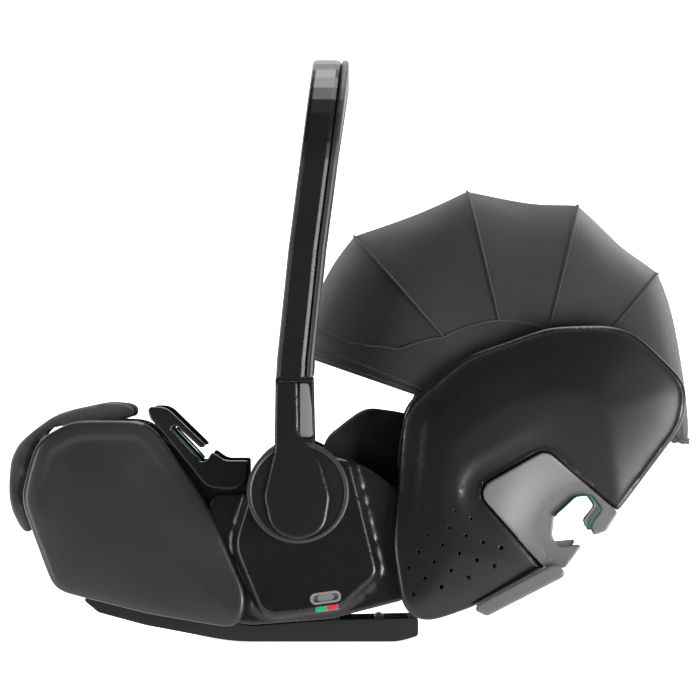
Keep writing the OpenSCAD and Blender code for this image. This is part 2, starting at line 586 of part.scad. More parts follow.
module handle_arch() {
    u = leg_w / 2;
    color([0.12, 0.12, 0.12]) union() {
        sweep(section(-u, u - 7.5, leg_t / 2, 5), handle_path());
        both() difference() {
            union() {
                rod([hub_x, hub_z], hub_r, leg_in, hub_y - 4);
                plate(rounded([[-76, 150, 1], [-76.5, 217, 20], [-76, leg_z + 4, 2], [-38, leg_z + 4, 2], [-36, 190, 1]]),
                      leg_in, hub_y - 4);
            }
            translate([-54.5, leg_in + 3, 208]) cube([40, 60, leg_z - 208.5]);
            rod([hub_x, hub_z], pin_r + 0.05, leg_in - 1, leg_in + 14.2);
        }
    }
}
module handle_trim() {
    u = leg_w / 2;
    color([0.16, 0.16, 0.16]) difference() {
        sweep(section(u - 7.4, u, leg_t / 2 - 0.5, 3), handle_path());
        translate([-200, -300, 200]) cube([400, 600, leg_z - 195]);
    }
}
module handle_hub_caps() {
    color([0.14, 0.14, 0.14]) both()
        plate(rounded([[-75, 262, 3], [-56, 262, 3], [-56, 208, 4], [-30, 196, 14], [-18, 150, 40], [-28, 112, 30],
                       [-53, 110, 30], [-80, 112, 30], [-88, 150, 40], [-75, 208, 20]]), hub_y - 4, hub_y);
}
module handle_button() {
    color([0.45, 0.45, 0.46]) plate(rounded([[-51, 210, 1], [-38, 210, 4], [-39, 240, 30], [-42, 265, 4], [-51, 265, 1]]),
                                    leg_in + 4, hub_y - 8);
}
module rear_bumper() {
    color([0.6, 0.6, 0.6]) both()
        plate(rounded([[127, 33, 3], [140, 27, 4], [222, 69, 5], [213, 80, 3], [204, 77.9, 3], [131, 38.6, 2]]), hook_y + 2.5, cover_y - 2);
}

base_keel();
seat_shell();
side(-1) foot_cover();  // foot_cover_left
side(1) foot_cover();  // foot_cover_right
side(-1) hub_panel();  // hub_panel_left
side(1) hub_panel();  // hub_panel_right
side(-1) lap_belt_guide();  // lap_belt_guide_left
side(1) lap_belt_guide();  // lap_belt_guide_right
foot_rim_pad();
seat_pad();
latch_bar(latch_front);  // latch_bar_front
latch_bar(latch_rear);  // latch_bar_rear
base_screws();
both() hub_lock_ring();  // hub_lock_rings
both() level_gauge();  // level_gauges
side(-1) level_float();  // level_float_left
side(1) level_float();  // level_float_right
adjuster_housing();
adjuster_button();
adjuster_strap();
crotch_strap();
lap_straps();
buckle_body();
buckle_button();
buckle_tongues();
recline_pins();
rear_shell();
side(-1) rear_cover();  // rear_cover_left
side(1) rear_cover();  // rear_cover_right
rear_bumper();
side(-1) belt_hook();  // belt_hook_left
side(1) belt_hook();  // belt_hook_right
both() belt_hook_liner();  // belt_hook_liners
back_pad();
side_bolsters();
rim_pads();
release_lever();
headrest_guide();
canopy_hubs();
shoulder_straps();
chest_pads();
headrest_shell();
headrest_pad();
harness_yoke();
canopy_bow(0);  // canopy_bow_front
canopy_bow(1);  // canopy_bow_2
canopy_bow(2);  // canopy_bow_3
canopy_bow(3);  // canopy_bow_4
canopy_bow(4);  // canopy_bow_rear
canopy_panel(0);  // canopy_panel_front
canopy_panel(1);  // canopy_panel_2
canopy_panel(2);  // canopy_panel_3
canopy_panel(3);  // canopy_panel_4
canopy_panel(4);  // canopy_panel_rear
handle_arch();
handle_trim();
handle_hub_caps();
side(-1) handle_button();  // handle_button_left
side(1) handle_button();  // handle_button_right
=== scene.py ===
import json
import logging
import math
from dataclasses import dataclass
from enum import Enum
from typing import Any, Callable, Iterable, Optional, Sequence, Union

import bmesh
import bpy
import numpy as np
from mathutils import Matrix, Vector
from mathutils.geometry import delaunay_2d_cdt


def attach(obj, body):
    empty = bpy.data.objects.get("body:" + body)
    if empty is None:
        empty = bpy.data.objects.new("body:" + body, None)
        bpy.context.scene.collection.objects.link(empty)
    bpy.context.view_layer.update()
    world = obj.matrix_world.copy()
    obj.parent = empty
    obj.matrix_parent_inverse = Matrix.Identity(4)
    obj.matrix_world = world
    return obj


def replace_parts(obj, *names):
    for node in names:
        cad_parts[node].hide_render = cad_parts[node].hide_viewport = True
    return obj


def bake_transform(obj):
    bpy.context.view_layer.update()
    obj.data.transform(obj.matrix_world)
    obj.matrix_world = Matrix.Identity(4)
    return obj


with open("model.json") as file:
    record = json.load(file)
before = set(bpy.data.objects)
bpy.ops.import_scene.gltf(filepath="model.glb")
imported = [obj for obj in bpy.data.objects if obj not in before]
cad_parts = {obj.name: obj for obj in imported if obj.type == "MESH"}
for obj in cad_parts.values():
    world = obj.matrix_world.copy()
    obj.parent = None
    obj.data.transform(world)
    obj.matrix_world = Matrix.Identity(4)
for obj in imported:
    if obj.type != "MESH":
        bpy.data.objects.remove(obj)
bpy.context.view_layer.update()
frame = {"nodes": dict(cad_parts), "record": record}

log = logging.getLogger("carrier_seat")
MM = 0.001
Point2 = tuple[float, float]
Corner = tuple[float, float, float]
Colour = tuple[float, float, float]


class Side(Enum):
    """Which side of the seat a piece is on, as the sign of its Y."""

    LEFT = -1
    RIGHT = 1


# ---------------------------------------------------------------- shader expressions
class Wire:
    """A node's output. Arithmetic on it adds Math nodes to its shader."""

    def __init__(self, shader: "Shader", socket: bpy.types.NodeSocket) -> None:
        """Wrap a socket of a shader."""
        self.shader = shader
        self.socket = socket

    def _math(self, operation: str, *values: Any) -> "Wire":
        """Add one Math node over the given values."""
        return self.shader.node("ShaderNodeMath", {"operation": operation}, dict(enumerate(values)))

    def __add__(self, other: Any) -> "Wire":
        """self + other."""
        return self._math("ADD", self, other)

    __radd__ = __add__

    def __mul__(self, other: Any) -> "Wire":
        """self * other."""
        return self._math("MULTIPLY", self, other)

    __rmul__ = __mul__

    def __sub__(self, other: Any) -> "Wire":
        """self - other."""
        return self._math("SUBTRACT", self, other)

    def __truediv__(self, other: Any) -> "Wire":
        """self / other."""
        return self._math("DIVIDE", self, other)

    def sin(self) -> "Wire":
        """The sine of self."""
        return self._math("SINE", self)

    def clamp(self) -> "Wire":
        """self held between 0 and 1."""
        return self._math("MAXIMUM", self._math("MINIMUM", self, 1.0), 0.0)


class Shader:
    """The node tree of one material, or of a world."""

    def __init__(self, name: str, world: Optional[bpy.types.World] = None) -> None:
        """Start an empty material of this name, or empty the nodes of a world."""
        self.material = world or bpy.data.materials.new(name)
        self.material.use_nodes = True
        self.tree = self.material.node_tree
        self.tree.nodes.clear()

    def node(self, kind: str, settings: Optional[dict] = None, inputs: Optional[dict] = None,
             out: Union[int, str] = 0) -> Wire:
        """Add a node.

        Args:
            kind: the node's Blender type.
            settings: attributes, set before the inputs; "stops" fills a colour ramp.
            inputs: values or wires by socket name or number.
            out: the output to return.

        Returns:
            The chosen output as a wire.
        """
        n = self.tree.nodes.new(kind)
        for key, value in (settings or {}).items():
            if key == "stops":
                ramp = n.color_ramp
                while len(ramp.elements) < len(value):
                    ramp.elements.new(0.5)
                for e, (place, tone) in zip(ramp.elements, value):
                    e.position = place
                    e.color = (*tone, 1.0) if len(tone) == 3 else tone
            else:
                setattr(n, key, value)
        for key, value in (inputs or {}).items():
            if isinstance(value, Wire):
                self.tree.links.new(value.socket, n.inputs[key])
            else:
                n.inputs[key].default_value = value
        return Wire(self, n.outputs[out])

    def place(self) -> Wire:
        """The point on the object, in metres of the shared frame."""
        return self.node("ShaderNodeTexCoord", out="Object")

    def axis(self, vector: Wire, name: str) -> Wire:
        """One of X, Y and Z of a vector."""
        return self.node("ShaderNodeSeparateXYZ", inputs={0: vector}, out=name)

    def noise(self, scale: float, detail: float = 3.0, rough: float = 0.55) -> Wire:
        """Fractal noise over the object's space, from 0 to 1."""
        return self.node("ShaderNodeTexNoise", {"noise_dimensions": "3D"},
                         {"Vector": self.place(), "Scale": scale, "Detail": detail, "Roughness": rough}, "Fac")

    def mix(self, mask: Wire, a: Any, b: Any) -> Wire:
        """Blend two colours by a mask."""
        as_colour = lambda v: (*v, 1.0) if isinstance(v, tuple) and len(v) == 3 else v
        return self.node("ShaderNodeMix", {"data_type": "RGBA"}, {0: mask, 6: as_colour(a), 7: as_colour(b)}, 2)

    def surface(self, colour: Any, rough: Any, normal: Optional[Wire], fixed: dict) -> bpy.types.Material:
        """Close the tree with a Principled surface.

        Args:
            colour: base colour, as a value or a wire.
            rough: roughness, as a value or a wire.
            normal: the bumped normal, or None.
            fixed: plain numbers for other sockets.

        Returns:
            The finished material.
        """
        inputs = {"Base Color": (*colour, 1.0) if isinstance(colour, tuple) else colour, "Roughness": rough, **fixed}
        if normal is not None:
            inputs["Normal"] = normal
        bsdf = self.node("ShaderNodeBsdfPrincipled", inputs=inputs, out="BSDF")
        self.close(bsdf)
        return self.material

    def close(self, shader: Wire, kind: str = "Material") -> None:
        """Link a shader to the tree's output."""
        out = self.tree.nodes.new(f"ShaderNodeOutput{kind}")
        self.tree.links.new(shader.socket, out.inputs["Surface"])


def lighter(colour: Colour, k: float) -> Colour:
    """A colour scaled by k."""
    return tuple(min(1.0, c * k) for c in colour)


@dataclass(frozen=True)
class Moulded:
    """Moulded plastic with a fine spark-eroded grain and softened edges."""

    name: str
    colour: Colour
    rough: float = 0.42
    grain: float = 0.12
    grain_scale: float = 1500.0
    edge: float = 0.8
    coat: float = 0.0
    specular: float = 0.5

    def make(self) -> bpy.types.Material:
        """Build the material."""
        s = Shader(self.name)
        cloudy = s.noise(9.0, 3.0)
        flecks = s.noise(420.0, 2.0)
        cells = s.node("ShaderNodeTexVoronoi", {"feature": "F1"},
                       {"Vector": s.place(), "Scale": self.grain_scale}, "Distance")
        tone = s.mix((cloudy - 0.3) * 1.6, lighter(self.colour, 0.86), lighter(self.colour, 1.12))
        tone = s.mix((flecks - 0.58) * 1.5, tone, lighter(self.colour, 1.5))
        bevel = s.node("ShaderNodeBevel", {"samples": 4}, {"Radius": self.edge * MM}, "Normal")
        bump = s.node("ShaderNodeBump", inputs={"Strength": self.grain, "Distance": 0.0003, "Height": cells + s.noise(700.0) * 0.6,
                                                "Normal": bevel}, out="Normal")
        rough = self.rough + (cloudy - 0.5) * 0.10 + (flecks - 0.5) * 0.05
        return s.surface(tone, rough, bump,
                         {"Coat Weight": self.coat, "Coat Roughness": 0.12, "Specular IOR Level": self.specular})


@dataclass(frozen=True)
class Cloth:
    """Woven or knitted cloth: two crossed yarns, a melange of lighter and darker fibres, and sheen."""

    name: str
    colour: Colour
    light: Colour
    yarn: float = 0.9
    melange: float = 0.5
    depth: float = 0.35
    sheen: float = 0.35
    rough: float = 0.85

    def make(self) -> bpy.types.Material:
        """Build the material."""
        s = Shader(self.name)
        p = s.place()
        x, y, z = (s.axis(p, a) for a in "XYZ")
        k = 2 * math.pi / (self.yarn * MM)
        warp = ((x + y * 0.7) * k).sin()
        weft = ((z + y * 0.7) * k).sin()
        weave = warp * weft * 0.5 + 0.5
        fibres = s.noise(1100.0, 2.0)
        cloudy = s.noise(16.0, 4.0, 0.6)
        mask = (fibres - 0.5) * (2.2 * self.melange) + weave * 0.35 + (cloudy - 0.5) * 0.7 + 0.25
        tone = s.mix(mask.clamp(), self.colour, self.light)
        fold = s.noise(38.0, 3.0)
        bump = s.node("ShaderNodeBump", out="Normal",
                      inputs={"Strength": self.depth, "Distance": 0.0006, "Height": weave + fibres * 0.8})
        bump = s.node("ShaderNodeBump", out="Normal",
                      inputs={"Strength": 0.25, "Distance": 0.002, "Height": fold, "Normal": bump})
        return s.surface(tone, self.rough + (fibres - 0.5) * 0.1, bump,
                         {"Sheen Weight": self.sheen, "Sheen Roughness": 0.45, "Specular IOR Level": 0.25})


@dataclass(frozen=True)
class Metal:
    """Plated or brushed metal with fine scratches."""

    name: str
    colour: Colour
    rough: float = 0.32

    def make(self) -> bpy.types.Material:
        """Build the material."""
        s = Shader(self.name)
        scratch = s.noise(600.0, 4.0)
        cloudy = s.noise(25.0)
        tone = s.mix(cloudy, lighter(self.colour, 0.8), self.colour)
        bump = s.node("ShaderNodeBump", inputs={"Strength": 0.1, "Distance": 0.0002, "Height": scratch}, out="Normal")
        return s.surface(tone, self.rough + (scratch - 0.5) * 0.2, bump, {"Metallic": 1.0})


FINISHES = {
    "shell_plastic": Moulded("shell black plastic", (0.012, 0.012, 0.0125), 0.46, 0.16),
    "cover_plastic": Moulded("rear cover plastic", (0.007, 0.0068, 0.007), 0.29, 0.05, edge=1.2),
    "foot_plastic": Moulded("foot cover plastic", (0.024, 0.023, 0.0235), 0.33, 0.07, edge=1.2),
    "hook_plastic": Moulded("belt hook plastic", (0.13, 0.129, 0.129), 0.34, 0.07, edge=1.4),
    "gloss_black": Moulded("hub panel plastic", (0.006, 0.006, 0.0065), 0.28, 0.04, edge=1.0),
    "handle_plastic": Moulded("handle plastic", (0.008, 0.008, 0.0083), 0.28, 0.05, edge=1.6),
    "trim_plastic": Moulded("handle trim plastic", (0.022, 0.022, 0.022), 0.42, 0.12, edge=1.2),
    "button_grey": Moulded("grey button plastic", (0.20, 0.20, 0.202), 0.4, 0.08),
    "button_red": Moulded("red button plastic", (0.42, 0.012, 0.012), 0.28, 0.05, coat=0.3),
    "gauge_plastic": Moulded("level gauge plastic", (0.26, 0.26, 0.26), 0.3, 0.04, edge=0.5),
    "liner_green": Moulded("green belt liner", (0.004, 0.13, 0.085), 0.4, 0.1),
    "steel": Metal("plated steel", (0.55, 0.55, 0.57)),
    "canopy_fabric": Cloth("canopy cloth", (0.013, 0.013, 0.0145), (0.033, 0.033, 0.0365), 1.1, 0.45, 0.3, 0.28),
    "pad_fabric": Cloth("black pad cloth", (0.010, 0.010, 0.0105), (0.028, 0.028, 0.03), 1.6, 0.5, 0.5, 0.3),
    "rim_fabric": Cloth("grey rim cloth", (0.05, 0.05, 0.054), (0.12, 0.12, 0.128), 1.1, 0.6, 0.35, 0.4),
    "gauge_green": Moulded("gauge green", (0.01, 0.50, 0.17), 0.35, 0.02, edge=0.3),
    "gauge_red": Moulded("gauge red", (0.80, 0.03, 0.06), 0.35, 0.02, edge=0.3),
    "webbing": Cloth("belt webbing", (0.008, 0.008, 0.0085), (0.03, 0.03, 0.032), 2.0, 0.3, 0.8, 0.2),
}
MATERIALS: dict[str, bpy.types.Material] = {}


def finish(slot: str) -> bpy.types.Material:
    """The material of a slot, built once."""
    if slot not in MATERIALS:
        MATERIALS[slot] = FINISHES[slot].make()
    return MATERIALS[slot]


# ---------------------------------------------------------------- outlines and meshes
def rounded(corners: Sequence[Corner], n: int = 8) -> np.ndarray:
    """A closed outline with an arc at each corner.

    Args:
        corners: x, z and radius of each corner, in millimetres.
        n: steps in each arc.

    Returns:
        The outline's points in millimetres.
    """
    points = []
    for i, (x, z, r) in enumerate(corners):
        b = np.array((x, z), float)
        a = np.array(corners[i - 1][:2], float)
        c = np.array(corners[(i + 1) % len(corners)][:2], float)
        u, v = (a - b) / np.linalg.norm(a - b), (c - b) / np.linalg.norm(c - b)
        half = math.acos(max(-1.0, min(1.0, float(u @ v)))) / 2
        if half > math.pi / 2 - 0.01:
            points.append(b)
            continue
        reach = min(r / math.tan(half), 0.48 * np.linalg.norm(a - b), 0.48 * np.linalg.norm(c - b))
        r = reach * math.tan(half)
        m = b + (u + v) / np.linalg.norm(u + v) * (r / math.sin(half))
        s, e = b + u * reach - m, b + v * reach - m
        a0 = math.atan2(s[1], s[0])
        turn = (math.atan2(e[1], e[0]) - a0 + 3 * math.pi) % (2 * math.pi) - math.pi
        points += [m + r * np.array((math.cos(a0 + turn * j / n), math.sin(a0 + turn * j / n))) for j in range(n + 1)]
    return np.array(points)


def spaced(loop: np.ndarray, step: float) -> np.ndarray:
    """A closed loop with points an even step apart."""
    ring = np.vstack([loop, loop[:1]])
    run = np.concatenate([[0], np.cumsum(np.linalg.norm(np.diff(ring, axis=0), axis=1))])
    at = np.linspace(0, run[-1], max(8, int(run[-1] / step)), endpoint=False)
    return np.stack([np.interp(at, run, ring[:, 0]), np.interp(at, run, ring[:, 1])], 1)


def eased(loop: np.ndarray, reach: float, step: float = 3.0) -> np.ndarray:
    """A closed loop whose straight runs and arcs are eased into one flowing curve."""
    ring = spaced(loop, step)
    for _ in range(int(2 * (reach / step) ** 2)):
        ring = (np.roll(ring, 1, 0) + 2 * ring + np.roll(ring, -1, 0)) / 4
    middle = ring.mean(0)
    return middle + (ring - middle) * (1 + 0.12 * reach / np.linalg.norm(loop - middle, axis=1).mean())


def across(loop: np.ndarray) -> np.ndarray:
    """The unit direction across a closed loop at each of its points."""
    along = np.roll(loop, -1, 0) - np.roll(loop, 1, 0)
    return np.stack([-along[:, 1], along[:, 0]], 1) / np.linalg.norm(along, axis=1, keepdims=True)


def gap_to(points: np.ndarray, loop: np.ndarray) -> np.ndarray:
    """The distance from each point to a closed loop."""
    a, ab = loop, np.roll(loop, -1, 0) - loop
    t = np.clip(((points[:, None] - a) * ab).sum(-1) / np.maximum((ab ** 2).sum(-1), 1e-12), 0, 1)
    return np.sqrt(((points[:, None] - (a + t[..., None] * ab)) ** 2).sum(-1)).min(1)


def within(points: np.ndarray, loop: np.ndarray) -> np.ndarray:
    """Whether each point is inside a closed loop."""
    (x0, z0), (x1, z1) = loop.T, np.roll(loop, -1, 0).T
    px, pz = points[:, :1], points[:, 1:]
    crosses = (z0 > pz) != (z1 > pz)
    with np.errstate(divide="ignore", invalid="ignore"):
        left = px < (x1 - x0) * (pz - z0) / (z1 - z0) + x0
    return (crosses & left).sum(1) % 2 == 1


def depth_in(points: np.ndarray, loop: np.ndarray) -> np.ndarray:
    """Distance to a loop, positive inside it and negative outside."""
    return np.where(within(points, loop), 1, -1) * gap_to(points, loop)


def smooth(v: np.ndarray, low: float, high: float) -> np.ndarray:
    """A smooth step from 0 at low to 1 at high."""
    t = np.clip((v - low) / (high - low), 0, 1)
    return t * t * (3 - 2 * t)


def roll_off(d: np.ndarray, r: float) -> np.ndarray:
    """How far a quarter-round edge of radius r falls at distance d from the rim."""
    return r * (1 - np.sqrt(np.clip(1 - (1 - np.clip(d / r, 0, 1)) ** 2, 0, 1)))


def solid(name: str, verts: Iterable, faces: Iterable, slot: str, body: Optional[str],
          sharp: float = 50.0) -> bpy.types.Object:
    """Make a piece from vertices in metres and faces, with its finish, riding on a body.

    Args:
        name: the piece's name.
        verts: vertex positions.
        faces: vertex numbers of each face.
        slot: material slot.
        body: the body that it rides on.
        sharp: edges steeper than this many degrees stay sharp.

    Returns:
        The new object.
    """
    mesh = bpy.data.meshes.new(name)
    mesh.from_pydata([tuple(map(float, v)) for v in verts], [], [tuple(map(int, f)) for f in faces])
    bm = bmesh.new()
    bm.from_mesh(mesh)
    bmesh.ops.recalc_face_normals(bm, faces=bm.faces)
    bm.to_mesh(mesh)
    bm.free()
    return dressed(name, mesh, slot, body, sharp)


def dressed(name: str, mesh: bpy.types.Mesh, slot: str, body: Optional[str], sharp: float = 50.0) -> bpy.types.Object:
    """An object for a finished mesh, with its material, smooth shading and body."""
    obj = bpy.data.objects.new(name, mesh)
    bpy.context.scene.collection.objects.link(obj)
    mesh.materials.clear()
    mesh.materials.append(finish(slot))
    mesh.shade_smooth()
    mesh.set_sharp_from_angle(angle=math.radians(sharp))
    slot in {m["slot"] for m in frame["record"]["materials"]}
    if body:
        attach(obj, body)
    log.info("%s: %d faces", name, len(mesh.polygons))
    return obj


Height = Callable[[np.ndarray, np.ndarray, np.ndarray], np.ndarray]


@dataclass
class Relief:
    """A moulded skin over an outline in XZ, whose Y comes from a height function, closed at its back."""

    outline: np.ndarray
    height: Height
    holes: Sequence[np.ndarray] = ()
    creases: Sequence[np.ndarray] = ()
    step: float = 6.0
    insets: Sequence[float] = (0.5, 1.2, 2.2, 3.6, 5.6, 8.5)
    wall: float = 2.5
    crease_offsets: Sequence[float] = (-4.0, -2.0, -0.8, 0.4, 1.6, 3.4)

    def points(self) -> tuple[list[np.ndarray], np.ndarray]:
        """The boundary loops, and the free points inside."""
        loops = [spaced(self.outline, min(3.5, 0.55 * self.step)), *[spaced(h, 2.0) for h in self.holes]]
        inner = []
        for k, loop in enumerate(loops):
            normal = across(loop)
            if not within(loop[:1] + normal[:1] * 0.3, loop)[0]:
                normal = -normal
            if k:
                normal = -normal
            offsets = self.insets if k == 0 else self.insets[:2]
            inner += [loop + normal * o for o in offsets]
        for crease in self.creases:
            loop = spaced(crease, 3.0)
            normal = across(loop)
            inner += [loop + normal * o for o in self.crease_offsets]
        low, high = loops[0].min(0), loops[0].max(0)
        gx, gz = np.meshgrid(np.arange(low[0], high[0], self.step), np.arange(low[1], high[1], self.step * 0.87))
        gx[::2] += self.step / 2
        free = np.vstack([*inner, np.stack([gx.ravel(), gz.ravel()], 1)])
        near = np.min([gap_to(free, l) for l in loops], axis=0)
        keep = within(free, loops[0]) & (near > self.insets[0] * 0.9)
        for hole in loops[1:]:
            keep &= ~within(free, hole)
        free = free[keep]
        order = {}
        for p in free:
            order.setdefault((round(p[0] / 0.55), round(p[1] / 0.55)), p)
        return loops, np.array(list(order.values()))

    def build(self, name: str, side: Side, slot: str, body: str) -> bpy.types.Object:
        """Make the piece on one side of the seat."""
        loops, free = self.points()
        fixed = np.vstack(loops)
        every = np.vstack([fixed, free])
        edges, start = [], 0
        for loop in loops:
            edges += [(start + i, start + (i + 1) % len(loop)) for i in range(len(loop))]
            start += len(loop)
        out, _, faces, *_ = delaunay_2d_cdt([Vector(p) for p in every], edges, [], 0, 1e-6)
        out = np.array([tuple(v) for v in out])
        mid = np.array([out[list(f)].mean(0) for f in faces])
        keep = within(mid, loops[0])
        for hole in loops[1:]:
            keep &= ~within(mid, hole)
        faces = [f for f, k in zip(faces, keep) if k]
        used = sorted({i for f in faces for i in f})
        where = {v: i for i, v in enumerate(used)}
        out = out[used]
        faces = [[where[i] for i in f] for f in faces]
        d = np.min([gap_to(out, l) for l in loops[:1]], axis=0)
        y = self.height(out[:, 0], out[:, 1], d)
        n = len(out)
        front = np.stack([out[:, 0], side.value * y, out[:, 1]], 1) * MM
        back = np.stack([out[:, 0], side.value * (y - self.wall), out[:, 1]], 1) * MM
        count: dict[tuple[int, int], tuple[int, int]] = {}
        for f in faces:
            for i in range(3):
                a, b = f[i], f[(i + 1) % 3]
                if (b, a) in count:
                    del count[(b, a)]
                else:
                    count[(a, b)] = (a, b)
        walls = [(b, a, n + a, n + b) for a, b in count]
        behind = [[n + i for i in f[::-1]] for f in faces]
        return solid(name, np.vstack([front, back]), [*faces, *behind, *walls], slot, body, 38.0)


def tube(path: Sequence[Sequence[float]], radius: float, n: int = 8, closed: bool = False,
         flat: float = 1.0) -> tuple[list, list]:
    """A round bead along a path.

    Args:
        path: points in metres.
        radius: the bead's radius in metres.
        n: sides.
        closed: whether the path is a loop.
        flat: thickness across the second direction, as a share of the first.

    Returns:
        Vertices and faces.
    """
    p = np.array(path, float)
    ahead = np.roll(p, -1, 0) - np.roll(p, 1, 0)
    if not closed:
        ahead[0], ahead[-1] = p[1] - p[0], p[-1] - p[-2]
    ahead /= np.linalg.norm(ahead, axis=1, keepdims=True)
    side = np.cross(ahead[0], (0.0, 0.0, 1.0))
    if np.linalg.norm(side) < 0.1:
        side = np.cross(ahead[0], (1.0, 0.0, 0.0))
    verts, faces = [], []
    for i, t in enumerate(ahead):
        side = side - t * (side @ t)
        side /= np.linalg.norm(side)
        up = np.cross(t, side)
        verts += [p[i] + radius * (math.cos(a) * side + flat * math.sin(a) * up)
                  for a in np.linspace(0, 2 * math.pi, n, endpoint=False)]
    k = len(p)
    for i in range(k if closed else k - 1):
        for j in range(n):
            a, b = i * n + j, i * n + (j + 1) % n
            c, d = (i + 1) % k * n + (j + 1) % n, (i + 1) % k * n + j
            faces.append((a, b, c, d))
    if not closed:
        faces += [tuple(range(n))[::-1], tuple((k - 1) * n + j for j in range(n))]
    return verts, faces


# ---------------------------------------------------------------- side covers
FOOT_EDGE = [(-336, 146, 26), (-320, 206, 30), (-282, 226, 30), (-206, 226, 26), (-150, 148, 60), (-106, 50, 30),
             (-112, 14, 12), (-206, 30, 20), (-302, 54, 12)]
REAR_EDGE = [(58, 14, 26), (44, 100, 60), (56, 240, 40), (118, 292, 60), (204, 322, 60), (282, 324, 60), (346, 262, 30),
             (338, 220, 12), (272, 132, 40), (206, 80, 10), (128, 38, 40)]
HUB_EDGE = [(-144, 153, 16), (-98, 153, 12), (-88, 196, 10), (-40, 200, 16), (0, 188, 10), (22, 176, 16), (54, 154, 8),
            (58, 44, 10), (-20, 24, 60), (-100, 18, 8), (-150, 24, 10)]
HUB_FACE = [(-88, 196, 8), (0, 186, 10), (28, 70, 14), (-10, 36, 30), (-88, 26, 20), (-118, 100, 40)]
HOOK_EDGE = [(128, 156, 14), (200, 197, 14), (274, 133, 3), (262, 114, 4), (248.5, 109, 2.5), (245.5, 121, 4),
             (257, 136, 4), (246, 151, 6), (231, 150, 10), (209, 130, 12), (206.5, 108, 11), (213, 98, 6), (238, 100.5, 2),
             (220, 76, 4), (198, 77, 14)]
HOOK_FIELD = [(128, 156, 14), (200, 197, 14), (274, 133, 4), (222, 75, 4), (198, 77, 14)]
HOOK_EYE = [(206.5, 108, 11), (209, 130, 12), (231, 150, 10), (246, 151, 6), (257, 136, 4), (245.5, 121, 4),
            (248.5, 109, 2.5)]
INSERT_EDGE = [(202, 80, 4), (194, 116, 14), (200, 140, 12), (228, 163, 14), (240, 163, 8), (272, 136, 4)]
VENTS = [(111.5, 152.5, 0.9), (91.5, 143.5, 0.8), (70.5, 136.5, 0.8), (107, 135, 1.1), (85.5, 126.5, 1.1), (123.5, 127, 1.4),
         (63.5, 120, 1), (101.5, 117.5, 1.4), (78.5, 109.5, 1.3), (118.5, 109.5, 1.6), (136, 102.5, 1.9), (94.5, 100, 1.6),
         (154.5, 97, 2.2), (70, 93, 1.5), (111.5, 91.5, 1.9), (129.5, 84.5, 2.2), (86, 83, 1.8), (60, 76.5, 1.7),
         (147.5, 78.5, 2.4), (103, 74, 2.1), (76.5, 66, 2), (121, 66.5, 2.4), (93.5, 57, 2.3), (65, 49.5, 2.2)]
BUMPER_EDGE = [(127, 33, 3), (140, 27, 4), (222, 69, 5), (213, 80, 3), (204, 78.8, 3), (131, 39.5, 2)]
GUIDE_EDGE = [(-204, 229, 3), (-208, 241, 5), (-188, 241, 20), (-150, 204, 4), (-147, 200, 1), (-153, 199, 2), (-178, 222, 2),
              (-184, 218, 2), (-152, 184, 3), (-146, 186, 3), (-141, 195, 2), (-128, 186, 14), (-104, 186, 2), (-104, 166, 10),
              (-118, 156, 14), (-146, 158, 20), (-186, 208, 30)]


def circle(x: float, z: float, r: float, n: int = 14) -> np.ndarray:
    """A round outline."""
    a = np.linspace(0, 2 * math.pi, n, endpoint=False)
    return np.stack([x + r * np.cos(a), z + r * np.sin(a)], 1)


def scaled(loop: np.ndarray, centre: Point2, k: float) -> np.ndarray:
    """An outline scaled about a point."""
    c = np.array(centre)
    return c + (loop - c) * k


def inset(loop: np.ndarray, by: float) -> np.ndarray:
    """An outline moved inwards by a distance, with its tight corners left out."""
    ring = spaced(loop, 3.0)
    normal = across(ring)
    if not within(ring[:1] + normal[:1] * 0.3, ring)[0]:
        normal = -normal
    moved = ring + normal * by
    return moved[gap_to(moved, ring) > abs(by) * 0.97]


def inset_line(corners: Sequence[Corner]) -> np.ndarray:
    """An open line of rounded corners, walked there and back as a loop."""
    there = rounded(corners, 6)
    return np.vstack([there, there[::-1] + 0.01])


@dataclass
class FootCover:
    """The cover over the foot end's side: a dark rim, a raised lip and a softly crowned face."""

    rim_y: float = 170.0
    lip_inset: float = 16.0
    crown: float = 6.0

    def height(self, x: np.ndarray, z: np.ndarray, d: np.ndarray) -> np.ndarray:
        """Y of the outer face."""
        away = np.maximum(0, -215 - 0.9 * x - 0.45 * (z - 130)) / 100
        high = smooth(z + 0.05 * np.abs(x + 240), 120, 190)
        dish = 2.4 * smooth(d, self.lip_inset - 4, self.lip_inset + 7) * high * (1 - smooth(d, 26, 75))
        crown = self.crown * (1 - (1 - np.clip(d / 85, 0, 1)) ** 2.0)
        return self.rim_y + 2.0 - 11.0 * away ** 1.6 - dish + crown - roll_off(d, 5.0)

    def build(self) -> None:
        """Make both covers."""
        edge = eased(rounded(FOOT_EDGE, 12), 9)
        for side in Side:
            name = f"foot_cover_{side.name.lower()}"
            skin = Relief(edge, self.height, creases=[inset(edge, self.lip_inset)], step=6.5)
            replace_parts(skin.build(name + "_skin", side, "foot_plastic", "seat_base"), name)


